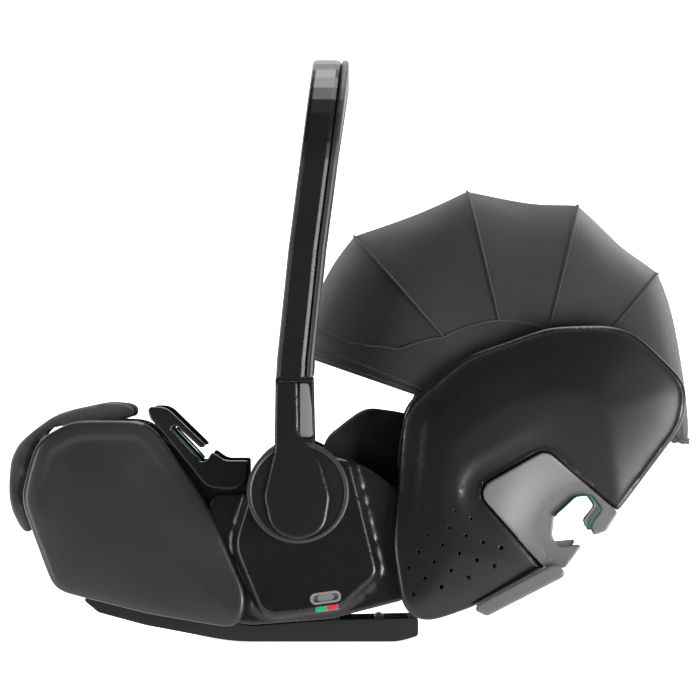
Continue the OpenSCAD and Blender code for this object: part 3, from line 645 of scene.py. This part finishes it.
@dataclass
class HubPanel:
    """The panel round the handle's hub: a lower skirt, a raised face, and a window for the level gauge."""

    skirt_y: float = 167.0
    face_y: float = 178.0
    gauge: Point2 = (-25.0, 46.0)
    tilt: float = 8.0

    def tilted(self, corners: Sequence[Corner]) -> np.ndarray:
        """An outline about the gauge's middle, turned with it."""
        c, s = math.cos(math.radians(self.tilt)), math.sin(math.radians(self.tilt))
        p = rounded(corners, 6)
        return np.stack([self.gauge[0] + p[:, 0] * c - p[:, 1] * s, self.gauge[1] + p[:, 0] * s + p[:, 1] * c], 1)

    def height(self, x: np.ndarray, z: np.ndarray, d: np.ndarray) -> np.ndarray:
        """Y of the outer face."""
        into = depth_in(np.stack([x, z], 1), rounded(HUB_FACE, 10))
        raised = (self.face_y - self.skirt_y) * smooth(into, -7.5, 2.5)
        return self.skirt_y + raised - roll_off(d, 3.0) + 1.2 * smooth(into, 4, 60)

    def build(self) -> None:
        """Make both panels, with their gauge strips."""
        pill = self.tilted([(-16, -6, 6), (16, -6, 6), (16, 6, 6), (-16, 6, 6)])
        strip = self.tilted([(-12, -14, 1.5), (12, -14, 1.5), (12, -8, 1), (-12, -8, 1)])
        face = rounded(HUB_FACE, 10)
        for side in Side:
            name = f"hub_panel_{side.name.lower()}"
            piece = Relief(rounded(HUB_EDGE, 10), self.height, holes=[pill, strip], creases=[face], step=6.0, wall=3.0,
                           crease_offsets=(-8, -6, -4, -2, 0, 1.5, 3.5)).build(name + "_skin", side, "gloss_black", "seat_base")
            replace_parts(piece, name)
            for low, high, slot, tag in ((-11.4, -0.4, "gauge_green", "flat"), (0.4, 11.4, "gauge_red", "steep")):
                band = self.tilted([(low, -13.2, 0.8), (high, -13.2, 0.8), (high, -8.6, 0.8), (low, -8.6, 0.8)])
                mark = Relief(band, lambda x, z, d: 178.9 - roll_off(d, 0.5), step=3.0, insets=(0.3, 0.8), wall=0.5)
                mark.build(f"gauge_{tag}_{side.name.lower()}", side, slot, "seat_base")


@dataclass
class RearCover:
    """The large crowned cover over the head end's side, with vent holes and a sunken field for the belt hook."""

    rim_y: float = 174.0
    crown: float = 8.0

    def edge(self, hook: np.ndarray) -> np.ndarray:
        """The cover's edge, which runs in round the hook where the hook reaches it."""
        cover, hook = eased(rounded(REAR_EDGE, 12), 10), spaced(hook, 2.0)
        cover = spaced(cover, 2.0)
        out = ~within(cover, hook) & (gap_to(cover, hook) > 1.5)
        first = int(np.argmax(out & ~np.roll(out, 1)))
        cover = np.roll(cover, -first, 0)
        kept = cover[:int(out.sum())] if out.sum() < len(out) else cover
        inner = within(hook, cover) & (gap_to(hook, cover) > 1.5)
        start = int(np.argmax(inner & ~np.roll(inner, 1)))
        path = np.roll(hook, -start, 0)[:int(inner.sum())]
        if np.linalg.norm(path[0] - kept[-1]) > np.linalg.norm(path[-1] - kept[-1]):
            path = path[::-1]
        return np.vstack([kept, path])

    def vents(self) -> list[np.ndarray]:
        """The outlines of the vent holes."""
        return [circle(x, z, r * 1.05, 12) for x, z, r in VENTS]

    def height(self, x: np.ndarray, z: np.ndarray, d: np.ndarray) -> np.ndarray:
        """Y of the outer face."""
        crown = self.crown * (1 - (1 - np.clip(d / 100, 0, 1)) ** 2.0)
        away = np.maximum(0, 0.78 * (x - 150) - 0.62 * (z - 190)) / 100
        field = 3.0 * (1 - smooth(d, 17, 27)) * smooth(z, 90, 190) * (1 - smooth(x, 90, 240))
        rim = 1.3 * smooth(z, 110, 170) * (1 - smooth(d, 3.0, 6.5))
        return np.maximum(self.rim_y + 4.0 + crown - field + rim - 11.0 * away ** 1.6, 163.0) - roll_off(d, 5.0)

    def build(self) -> None:
        """Make both covers."""
        hook = scaled(rounded(HOOK_FIELD, 10), (205, 132), 1.002)
        edge = self.edge(hook)
        for side in Side:
            name = f"rear_cover_{side.name.lower()}"
            cover = Relief(edge, self.height, holes=self.vents(), step=6.5, wall=3.0)
            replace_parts(cover.build(name + "_skin", side, "cover_plastic", "backrest"), name)


@dataclass
class BeltHook:
    """The open hook for a shoulder belt: a hollow that falls to an eye with a mouth towards the head end."""

    rim_y: float = 182.0
    depth: float = 10.0
    eye_middle: Point2 = (230.0, 125.0)
    liner_t: float = 1.3
    liner_y: Point2 = (174.6, 160.0)

    def height(self, x: np.ndarray, z: np.ndarray, d: np.ndarray) -> np.ndarray:
        """Y of the outer face: three planes that fall from the field's upper and lower edges towards the eye."""
        p = np.stack([x, z], 1)
        near_eye = gap_to(p, rounded(HOOK_EYE, 8))
        far = np.hypot(x - 228, z - 124)
        fall = self.depth * (1 - smooth(far, 28, 92)) + 3.0 * smooth(0.7 * (x - 190) - 0.7 * (z - 170), -20, 40)
        seam = 0.9 * np.exp(-(gap_to(p, inset_line(INSERT_EDGE)) / 0.8) ** 2)
        lip = 1.2 * (1 - smooth(near_eye, 2, 9))
        return np.maximum(self.rim_y - fall + lip - seam, 170.0) - roll_off(d, 2.2)

    def liner(self, side: Side) -> bpy.types.Object:
        """The coloured strip that lines the upper part of one hook's eye."""
        ring = spaced(rounded(HOOK_EYE, 8), 2.0)
        upper = ring[(ring[:, 1] > 112) & ~((ring[:, 1] < 128) & (ring[:, 0] < 225))]
        start = int(np.argmin(np.hypot(*(upper - (209, 130)).T)))
        upper = np.roll(upper, -start, 0)
        verts, n = [], len(upper)
        outer, inner = (side.value * y * MM for y in self.liner_y)
        for x, z in upper:
            u = np.array(self.eye_middle) - (x, z)
            u /= np.linalg.norm(u)
            x1, z1 = x + self.liner_t * u[0], z + self.liner_t * u[1]
            verts += [(x * MM, outer, z * MM), (x1 * MM, outer, z1 * MM), (x1 * MM, inner, z1 * MM), (x * MM, inner, z * MM)]
        faces = [(4 * i + k, 4 * i + (k + 1) % 4, 4 * i + 4 + (k + 1) % 4, 4 * i + 4 + k) for i in range(n - 1) for k in range(4)]
        faces += [(0, 1, 2, 3), (4 * n - 1, 4 * n - 2, 4 * n - 3, 4 * n - 4)]
        return solid(f"belt_hook_liner_{side.name.lower()}", verts, faces, "liner_green", "backrest")

    def build(self) -> None:
        """Make both hooks, with the liner of each eye and the bumper strip below."""
        for side in Side:
            tag = side.name.lower()
            hook = Relief(rounded(HOOK_EDGE, 6), self.height, step=4.0, wall=13.0, insets=(0.4, 1.0, 1.8, 3.0),
                          creases=[inset_line(INSERT_EDGE)], crease_offsets=(-2.4, -1.2, -0.6, 0, 0.6, 1.2, 2.4))
            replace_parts(hook.build(f"belt_hook_{tag}_skin", side, "hook_plastic", "backrest"), f"belt_hook_{tag}")
            lip = self.liner(side)
            if side is Side.LEFT:
                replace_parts(lip, "belt_hook_liners")
            strip = Relief(rounded(BUMPER_EDGE, 6), lambda x, z, d: 181.0 - 0.05 * (60 - z) - roll_off(d, 3.0),
                           step=5.0, wall=7.0)
            piece = strip.build(f"bumper_{tag}", side, "hook_plastic", "backrest")
            if side is Side.LEFT:
                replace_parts(piece, "rear_bumper")


# ---------------------------------------------------------------- canopy
@dataclass
class Canopy:
    """The folding hood: five cloth panels stretched between five bows and a rear hem, with piped seams."""

    pivot: Point2 = (178.0, 217.0)
    base: float = 62.0
    angles: Sequence[float] = (161.0, 131.0, 103.0, 76.0, 49.0, -4.0)
    reach: Sequence[float] = (233.5, 264.5, 252.5, 238.5, 213.5, 169.0)
    half: Sequence[float] = (168.3, 166.5, 164.5, 163.0, 161.5, 164.0)
    square: Sequence[float] = (0.72, 0.72, 0.70, 0.66, 0.58, 0.36)
    band: Sequence[Point2] = ((-4, 112), (40, 104), (74, 103.5), (80, 107.5), (101, 115), (131, 126), (147, 151),
                              (152, 184), (153.5, 205))
    front_band: float = 0.25
    columns: int = 72
    rows: int = 14
    bodies: Sequence[str] = ("canopy_front", "canopy_2", "canopy_3", "canopy_4", "canopy_rear", "backrest")
    names: Sequence[str] = ("front", "2", "3", "4", "rear")

    def at(self, k: float, t: float, lift: float = 0.0) -> np.ndarray:
        """A point of the cloth in metres.

        Args:
            k: place along the bows, from 0 at the front edge to 5 at the rear hem.
            t: place along the arch, from 0 at the left hub to 1 at the right one.
            lift: how far above the cloth, in millimetres.
        """
        i = min(int(k), 4)
        s = k - i
        mix = lambda v: v[i] + (v[i + 1] - v[i]) * s
        e, reach, half, angle = mix(self.square), mix(self.reach), mix(self.half), mix(self.angles)
        a = math.pi * t
        up = max(0.0, math.sin(a)) ** e
        out = -math.copysign(abs(math.cos(a)) ** e, math.cos(a))
        dip = math.sin(math.pi * s)
        sag = (-0.014, 0.040, 0.045, 0.045, 0.070)[i] * dip * up ** 1.4
        r = self.base + (reach - self.base) * up
        r *= 1 - sag
        y = half * out * (1 - 0.010 * dip)
        if i == 4:
            hem = smooth(np.array(s), 0.62, 1.0) * smooth(np.array(up), 0.3, 0.8)
            r += float(hem) * 1.6 * math.sin(t * 150)
            angle += float(hem) * 0.5 * math.sin(t * 95 + 1.0)
        if i == 0:
            r += 1.2 * (1 - s) ** 3 * math.sin(t * 9.0) * up
        wave = 0.9 * math.sin(7.3 * t * math.pi + 3.1 * k) * math.sin(4.7 * k + 11 * t) * dip * up
        length = math.hypot(math.sin(a), abs(math.cos(a)))
        ny = math.copysign(abs(out) ** 3, out) / max(length, 1e-6)
        nr = max(0.0, up) ** 3
        n = math.hypot(ny, nr) or 1.0
        r += (lift + wave) * nr / n
        y += lift * ny / n
        q = math.radians(angle)
        return np.array((self.pivot[0] + r * math.cos(q), y, self.pivot[1] + r * math.sin(q))) * MM

    def arch_at(self, k: float, radius: float) -> float:
        """The place t along the left half of an arch where it is this far from the pivot."""
        i = min(int(k), 4)
        s = k - i
        mix = lambda v: v[i] + (v[i + 1] - v[i]) * s
        up = (radius - self.base) / (mix(self.reach) - self.base)
        return math.asin(min(0.98, max(0.02, up)) ** (1 / mix(self.square))) / math.pi

    def band_at(self, k: float) -> float:
        """The place t where the side band's seam crosses an arch."""
        i = min(int(k), 4)
        angle = self.angles[i] + (self.angles[i + 1] - self.angles[i]) * (k - i)
        a, r = zip(*self.band)
        return self.arch_at(k, float(np.interp(angle, a, r)))

    def panel(self, i: int) -> None:
        """One panel: a thin closed sheet with its own seams, between its two bows."""
        ts = 0.5 - 0.5 * np.cos(np.linspace(0, math.pi, self.columns + 1))
        ts = 0.6 * ts + 0.4 * np.linspace(0, 1, self.columns + 1)
        ts = 0.012 + 0.976 * ts
        ks = i + np.linspace(0, 1, self.rows + 1)
        outer = [self.at(min(k, i + 0.99999), t) for k in ks for t in ts]
        inner = [self.at(min(k, i + 0.99999), t, -1.0) for k in ks for t in ts]
        m, n = len(outer), self.columns + 1
        faces = []
        for a in range(self.rows):
            for b in range(self.columns):
                p, q = a * n + b, (a + 1) * n + b
                faces += [(p, p + 1, q + 1, q), (m + p, m + q, m + q + 1, m + p + 1)]
        rim = [*range(n), *[r * n + n - 1 for r in range(1, self.rows + 1)],
               *[self.rows * n + c for c in range(n - 2, -1, -1)],
               *[r * n for r in range(self.rows - 1, 0, -1)]]
        faces += [(a, m + a, m + b, b) for a, b in zip(rim, rim[1:] + rim[:1])]
        name = self.names[i]
        piece = solid(f"canopy_cloth_{name}", outer + inner, faces, "canopy_fabric", None, 60.0)
        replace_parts(piece, f"canopy_panel_{name}")
        self.cross(piece, i)
        self.seams(i)

    def cross(self, piece: bpy.types.Object, i: int) -> None:
        """Bake a piece's transform into its mesh."""
        c = (self.pivot[0] * MM, 0.0, self.pivot[1] * MM)
        a, b = (self.at(k, 0.5) for k in (i + 0.001, i + 0.999))
        self.bodies[i + 1]
        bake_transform(piece)

    def seams(self, i: int) -> None:
        """The beads sewn into one panel: the side band's seam, which crosses the front as the edge band's, and the hem."""
        name = self.names[i]
        ks = np.linspace(i, i + 0.9999, 22) if i else np.linspace(0.9999, self.front_band + 0.03, 22)
        left = [self.at(float(k), self.band_at(float(k)), 0.25) for k in ks]
        right = [self.at(float(k), 1 - self.band_at(float(k)), 0.25) for k in ks]
        if i:
            paths = {"left": left, "right": right}
        else:
            lo = self.arch_at(self.front_band, 200.0)
            over = [self.at(self.front_band, t, 0.25) for t in np.linspace(lo, 1 - lo, 110)]
            hem = [self.at(0.10, t, 0.15) for t in np.linspace(0.03, 0.97, 130)]
            paths = {"edge": [*left, *over, *right[::-1]], "hem": hem}
        for tag, path in paths.items():
            self.cross(solid(f"band_seam_{name}_{tag}", *tube(path, 0.0009, 8), "canopy_fabric", None), i)

    def piping(self, k: int) -> None:
        """The raised piped seam over one bow."""
        if k in (0, 5):
            lo, hi, r = 0.02, 0.98, 0.0020
        else:
            lo = self.band_at(k)
            hi, r = 1 - lo, 0.0013
        path = [self.at(min(k, 4.9999), t, 0.3) for t in np.linspace(lo, hi, 120)]
        solid(f"canopy_piping_{k}", *tube(path, r, 10, flat=1.0), "canopy_fabric", self.bodies[k])

    def build(self) -> None:
        """Make the whole hood."""
        for i in range(5):
            self.panel(i)
        for k in range(6):
            self.piping(k)


# ---------------------------------------------------------------- pads
@dataclass
class Pad:
    """A padded piece grown from its plain solid: remeshed, blown up as cloth, and smoothed."""

    node: str
    slot: str
    body: str
    voxel: float = 5.0
    pressure: float = 4.0
    cap: float = 6.0
    shrink: float = 2.5
    fill: float = 0.6
    frames: int = 14

    def build(self) -> bpy.types.Object:
        """Make the pad in its solid's place."""
        mesh = frame["nodes"][self.node].data.copy()
        obj = bpy.data.objects.new(self.node + "_cloth", mesh)
        bpy.context.scene.collection.objects.link(obj)
        remesh = obj.modifiers.new("remesh", "REMESH")
        remesh.mode, remesh.voxel_size = "VOXEL", self.voxel * MM
        self.bake(obj)
        start = np.array([v.co for v in obj.data.vertices])
        normals = np.array([v.normal for v in obj.data.vertices])
        start = start - normals * self.shrink * MM
        obj.data.vertices.foreach_set("co", start.ravel())
        soften = obj.modifiers.new("soften", "SMOOTH")
        soften.factor, soften.iterations = 0.5, 10
        self.bake(obj)
        start = np.array([v.co for v in obj.data.vertices])
        cloth = obj.modifiers.new("cloth", "CLOTH")
        cloth.settings.use_pressure = True
        cloth.settings.uniform_pressure_force = self.pressure
        cloth.settings.effector_weights.gravity = 0.0
        cloth.settings.quality = 4
        for f in range(1, self.frames + 1):
            bpy.context.scene.frame_set(f)
        self.bake(obj)
        bpy.context.scene.frame_set(1)
        end = np.array([v.co for v in obj.data.vertices])
        move = end - start
        far = np.linalg.norm(move, axis=1, keepdims=True)
        end = start + move * np.minimum(1, self.cap * MM / np.maximum(far, 1e-9))
        obj.data.vertices.foreach_set("co", end.ravel())
        subdivide = obj.modifiers.new("subdivide", "SUBSURF")
        subdivide.levels = subdivide.render_levels = 1
        self.bake(obj)
        mesh = obj.data
        bpy.data.objects.remove(obj)
        if "sharp_face" in mesh.attributes:
            mesh.attributes.remove(mesh.attributes["sharp_face"])
        piece = dressed(self.node + "_padding", mesh, self.slot, self.body, 80.0)
        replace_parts(piece, self.node)
        return piece

    @staticmethod
    def bake(obj: bpy.types.Object) -> None:
        """Apply every modifier on an object."""
        seen = bpy.context.evaluated_depsgraph_get()
        mesh = bpy.data.meshes.new_from_object(obj.evaluated_get(seen))
        obj.modifiers.clear()
        obj.data = mesh


# ---------------------------------------------------------------- webbing
@dataclass
class Strap:
    """Flat webbing along a path, with a woven edge on each side."""

    name: str
    path: Sequence[Sequence[float]]
    across: Sequence[float]
    body: str
    nodes: Sequence[str] = ()
    width: float = 25.0
    thick: float = 1.5

    def curve(self, n: int = 26) -> np.ndarray:
        """The path as a smooth curve of n points, in metres."""
        p = np.array(self.path, float)
        run = np.concatenate([[0], np.cumsum(np.linalg.norm(np.diff(p, axis=0), axis=1))])
        at = np.linspace(0, run[-1], n)
        c = np.stack([np.interp(at, run, p[:, i]) for i in range(3)], 1)
        for _ in range(4):
            c[1:-1] = (c[:-2] + 2 * c[1:-1] + c[2:]) / 4
        return c * MM

    def build(self) -> bpy.types.Object:
        """Make the strap."""
        c = self.curve()
        ahead = np.gradient(c, axis=0)
        ahead /= np.linalg.norm(ahead, axis=1, keepdims=True)
        wide = np.array(self.across, float)
        w, t = self.width / 2 * MM, self.thick / 2 * MM
        profile = [(-1, 0.0), (-0.97, 0.9), (-0.90, 1.15), (-0.82, 0.75), (0, 0.7), (0.82, 0.75), (0.90, 1.15), (0.97, 0.9), (1, 0.0),
                   (0.97, -0.9), (0.90, -1.15), (0.82, -0.75), (0, -0.7), (-0.82, -0.75), (-0.90, -1.15), (-0.97, -0.9)]
        verts, faces, n = [], [], len(profile)
        for p, a in zip(c, ahead):
            u = wide - a * (wide @ a)
            u /= np.linalg.norm(u)
            up = np.cross(a, u)
            verts += [p + u * w * x + up * t * y for x, y in profile]
        for i in range(len(c) - 1):
            faces += [(i * n + j, i * n + (j + 1) % n, (i + 1) * n + (j + 1) % n, (i + 1) * n + j) for j in range(n)]
        faces += [tuple(range(n))[::-1], tuple((len(c) - 1) * n + j for j in range(n))]
        piece = solid(self.name, verts, faces, "webbing", self.body)
        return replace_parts(piece, *self.nodes) if self.nodes else piece


@dataclass
class Harness:
    """The five-point harness: shoulder, lap, crotch and adjuster webbing."""

    inner: float = 34.5

    def build(self) -> None:
        """Make every strap."""
        line = [(170, 145.5), (148, 127), (119, 105), (70, 105), (20, 113), (-9, 119)]
        for side in Side:
            y, tag = side.value * self.inner, side.name.lower()
            nodes = ["shoulder_straps"] if side is Side.LEFT else []
            Strap(f"shoulder_strap_{tag}", [(x, y, z) for x, z in line], (0, 1, 0), "backrest", nodes).build()
            nodes = ["lap_straps"] if side is Side.LEFT else []
            Strap(f"lap_strap_{tag}", [(-49, side.value * v, z) for v, z in ((24, 97), (48, 97), (72, 98), (104, 109), (134, 120))],
                  (1, 0, 0), "seat_base", nodes).build()
        Strap("crotch_webbing", [(-52, 0, 76.5), (-51.5, 0, 82), (-51.2, 0, 90)], (0, 1, 0), "seat_base",
              ["crotch_strap"], thick=2.4).build()
        Strap("adjuster_webbing", [(-206, 0, 107), (-222, 0, 112), (-238, 0, 118), (-250, 0, 128), (-262, 0, 139)], (0, 1, 0), "seat_base",
              ["adjuster_strap"]).build()


# ---------------------------------------------------------------- handle
@dataclass
class Handle:
    """The carry handle's own details: crowned hub caps and a bright-edged ring round each hub."""

    hub: Point2 = (-53.0, 154.0)
    hub_r: float = 52.0
    outer_y: float = 216.0

    def ring(self, side: Side) -> None:
        """A turned ring round the rim of one hub."""
        steps = ((-5.0, 0.0), (-4.4, 1.1), (-3.2, 1.6), (-1.6, 1.5), (-0.4, 0.9), (0.15, -0.4), (0.15, -6.0), (-5.0, -6.0))
        profile = [(self.hub_r + r, h) for r, h in steps]
        verts, faces, n, m = [], [], len(profile), 96
        for j in range(m):
            a = 2 * math.pi * j / m
            verts += [((self.hub[0] + r * math.cos(a)) * MM, side.value * (self.outer_y + h) * MM,
                       (self.hub[1] + r * math.sin(a)) * MM)
                      for r, h in profile]
        for j in range(m):
            faces += [(j * n + i, j * n + (i + 1) % n, (j + 1) % m * n + (i + 1) % n, (j + 1) % m * n + i) for i in range(n)]
        solid(f"hub_ring_{side.name.lower()}", verts, faces, "trim_plastic", "handle", 40.0)

    def cap_height(self, x: np.ndarray, z: np.ndarray, d: np.ndarray) -> np.ndarray:
        """Y of a hub cap's face."""
        return self.outer_y + 3.4 - roll_off(d, 3.2) + 0.5 * smooth(d, 3, 25)

    def build(self) -> None:
        """Make both hubs' details."""
        edge = rounded([(-76, 268, 2), (-53, 268, 2), (-52, 214, 10), (-30, 186, 30), (-20, 150, 30), (-26, 114, 26), (-53, 104, 30),
                        (-80, 114, 26), (-88, 150, 30), (-77, 196, 40)], 12)
        for side in Side:
            self.ring(side)
            face = Relief(edge, self.cap_height, step=6.0, wall=3.2)
            cap = face.build(f"hub_cap_{side.name.lower()}", side, "handle_plastic", "handle")
            if side is Side.LEFT:
                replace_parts(cap, "handle_hub_caps")


@dataclass
class BeltGuide:
    """The lap belt guide: a hooked plate with soft edges and a coloured lip where the belt slides in."""

    outer_y: float = 176.0

    def build(self) -> None:
        """Make both guides."""
        for side in Side:
            tag = side.name.lower()
            guide = Relief(rounded(GUIDE_EDGE, 8), lambda x, z, d: self.outer_y - roll_off(d, 2.0), step=5.0, wall=18.0,
                           insets=(0.4, 1.0, 1.8, 3.0)).build(f"lap_guide_{tag}", side, "cover_plastic", "seat_base")
            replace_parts(guide, f"lap_belt_guide_{tag}")
            guide = ((-182, 217.6), (-170, 205), (-160, 194.5), (-152.6, 186.0))
            path = [(x * MM, side.value * 171.0 * MM, z * MM) for x, z in guide]
            solid(f"lap_guide_lip_{tag}", *tube(path, 0.0011, 8), "liner_green", "seat_base")


# ---------------------------------------------------------------- stage
@dataclass
class Studio:
    """A white sweep behind and below, soft lights and the camera, square on to the seat's left side."""

    span: float = 0.714
    middle: Point2 = (0.0, 0.2989)
    distance: float = 12.0
    near: float = 0.19

    def area(self, name: str, place: Sequence[float], aim: Sequence[float], size: Point2, power: float) -> None:
        """One rectangular soft light."""
        light = bpy.data.lights.new(name, "AREA")
        light.shape, light.size, light.size_y, light.energy = "RECTANGLE", size[0], size[1], power
        obj = bpy.data.objects.new(name, light)
        obj.location = place
        obj.rotation_euler = (Vector(aim) - Vector(place)).to_track_quat("-Z", "Y").to_euler()
        bpy.context.scene.collection.objects.link(obj)

    def sheet(self, name: str, size: Point2, place: Sequence[float], turn: Sequence[float], glow: float) -> None:
        """One white sheet of the studio, lit from within."""
        w, h = size[0] / 2, size[1] / 2
        mesh = bpy.data.meshes.new(name)
        mesh.from_pydata([(-w, -h, 0), (w, -h, 0), (w, h, 0), (-w, h, 0)], [], [(0, 1, 2, 3)])
        lit = {"Emission Color": (1, 1, 1, 1), "Emission Strength": glow, "Specular IOR Level": 0.0}
        mesh.materials.append(Shader(name).surface((0.85, 0.85, 0.85), 0.9, None, lit))
        obj = bpy.data.objects.new(name, mesh)
        obj.location, obj.rotation_euler = place, turn
        bpy.context.scene.collection.objects.link(obj)

    def build(self) -> None:
        """Make the stage."""
        scene = bpy.context.scene
        world = bpy.data.worlds.new("pale room")
        s = Shader("room", world)
        height = s.axis(s.node("ShaderNodeTexCoord", out="Generated"), "Z")
        glow = ((height * -1.0 - 0.12) / 0.3).clamp() * 0.7 + 0.08
        s.close(s.node("ShaderNodeBackground", inputs={"Color": (1, 1, 1, 1), "Strength": glow}), "World")
        scene.world = world
        self.sheet("backdrop", (8.0, 5.0), (0, 3.2, 2.0), (math.pi / 2, 0, 0), 1.15)
        self.sheet("floor", (8.0, 3.8), (0, 1.6, -0.0006), (0, 0, 0), 0.93)
        self.area("top softbox", (0.25, 0.1, 2.0), (0.15, 0, 0.3), (1.5, 1.1), 30)
        self.area("left softbox", (-2.0, -1.35, 0.05), (-0.3, -0.15, 0.15), (0.7, 1.5), 26)
        self.area("head end softbox", (1.95, -1.45, -0.45), (0.25, -0.15, 0.15), (1.0, 1.7), 125)
        camera = bpy.data.cameras.new("camera")
        camera.lens = 36.0 * (self.distance - self.near) / self.span
        camera.clip_end = 50.0
        obj = bpy.data.objects.new("camera", camera)
        obj.location = (self.middle[0], -self.distance, self.middle[1])
        obj.rotation_euler = (math.pi / 2, 0, 0)
        scene.collection.objects.link(obj)
        scene.camera = obj
        scene.view_settings.view_transform = "Standard"


PADS = [
    Pad("foot_rim_pad", "rim_fabric", "seat_base", cap=5.0, shrink=1.5),
    Pad("seat_pad", "pad_fabric", "seat_base", cap=6.0),
    Pad("back_pad", "pad_fabric", "backrest", cap=5.0),
    Pad("side_bolsters", "pad_fabric", "backrest", cap=6.0, fill=0.8),
    Pad("rim_pads", "rim_fabric", "backrest", voxel=4.0, cap=4.0, fill=0.7),
    Pad("headrest_pad", "pad_fabric", "headrest", voxel=4.0, cap=4.0, shrink=2.0),
    Pad("chest_pads", "pad_fabric", "backrest", voxel=2.5, cap=2.0, shrink=1.0),
]


def dress_solids() -> None:
    """Give every carried-over solid its slot's finish."""
    slots = {s["node"]: s["material_slot"] for s in frame["record"]["subparts"]}
    for name, obj in frame["nodes"].items():
        material = finish(slots[name])
        if not obj.material_slots:
            obj.data.materials.append(material)
        for place in obj.material_slots:
            place.material = material
        obj.data.shade_smooth()
        obj.data.set_sharp_from_angle(angle=math.radians(33))


def main() -> None:
    """Build the seat, piece by piece."""
    logging.basicConfig(level=logging.INFO, format="%(name)s: %(message)s")
    Studio().build()
    dress_solids()
    for part in (FootCover(), HubPanel(), RearCover(), BeltHook(), BeltGuide(), Canopy(), Handle(), Harness()):
        part.build()
        log.info("%s done", type(part).__name__)
    for pad in PADS:
        pad.build()


if __name__ == "__main__":
    main()
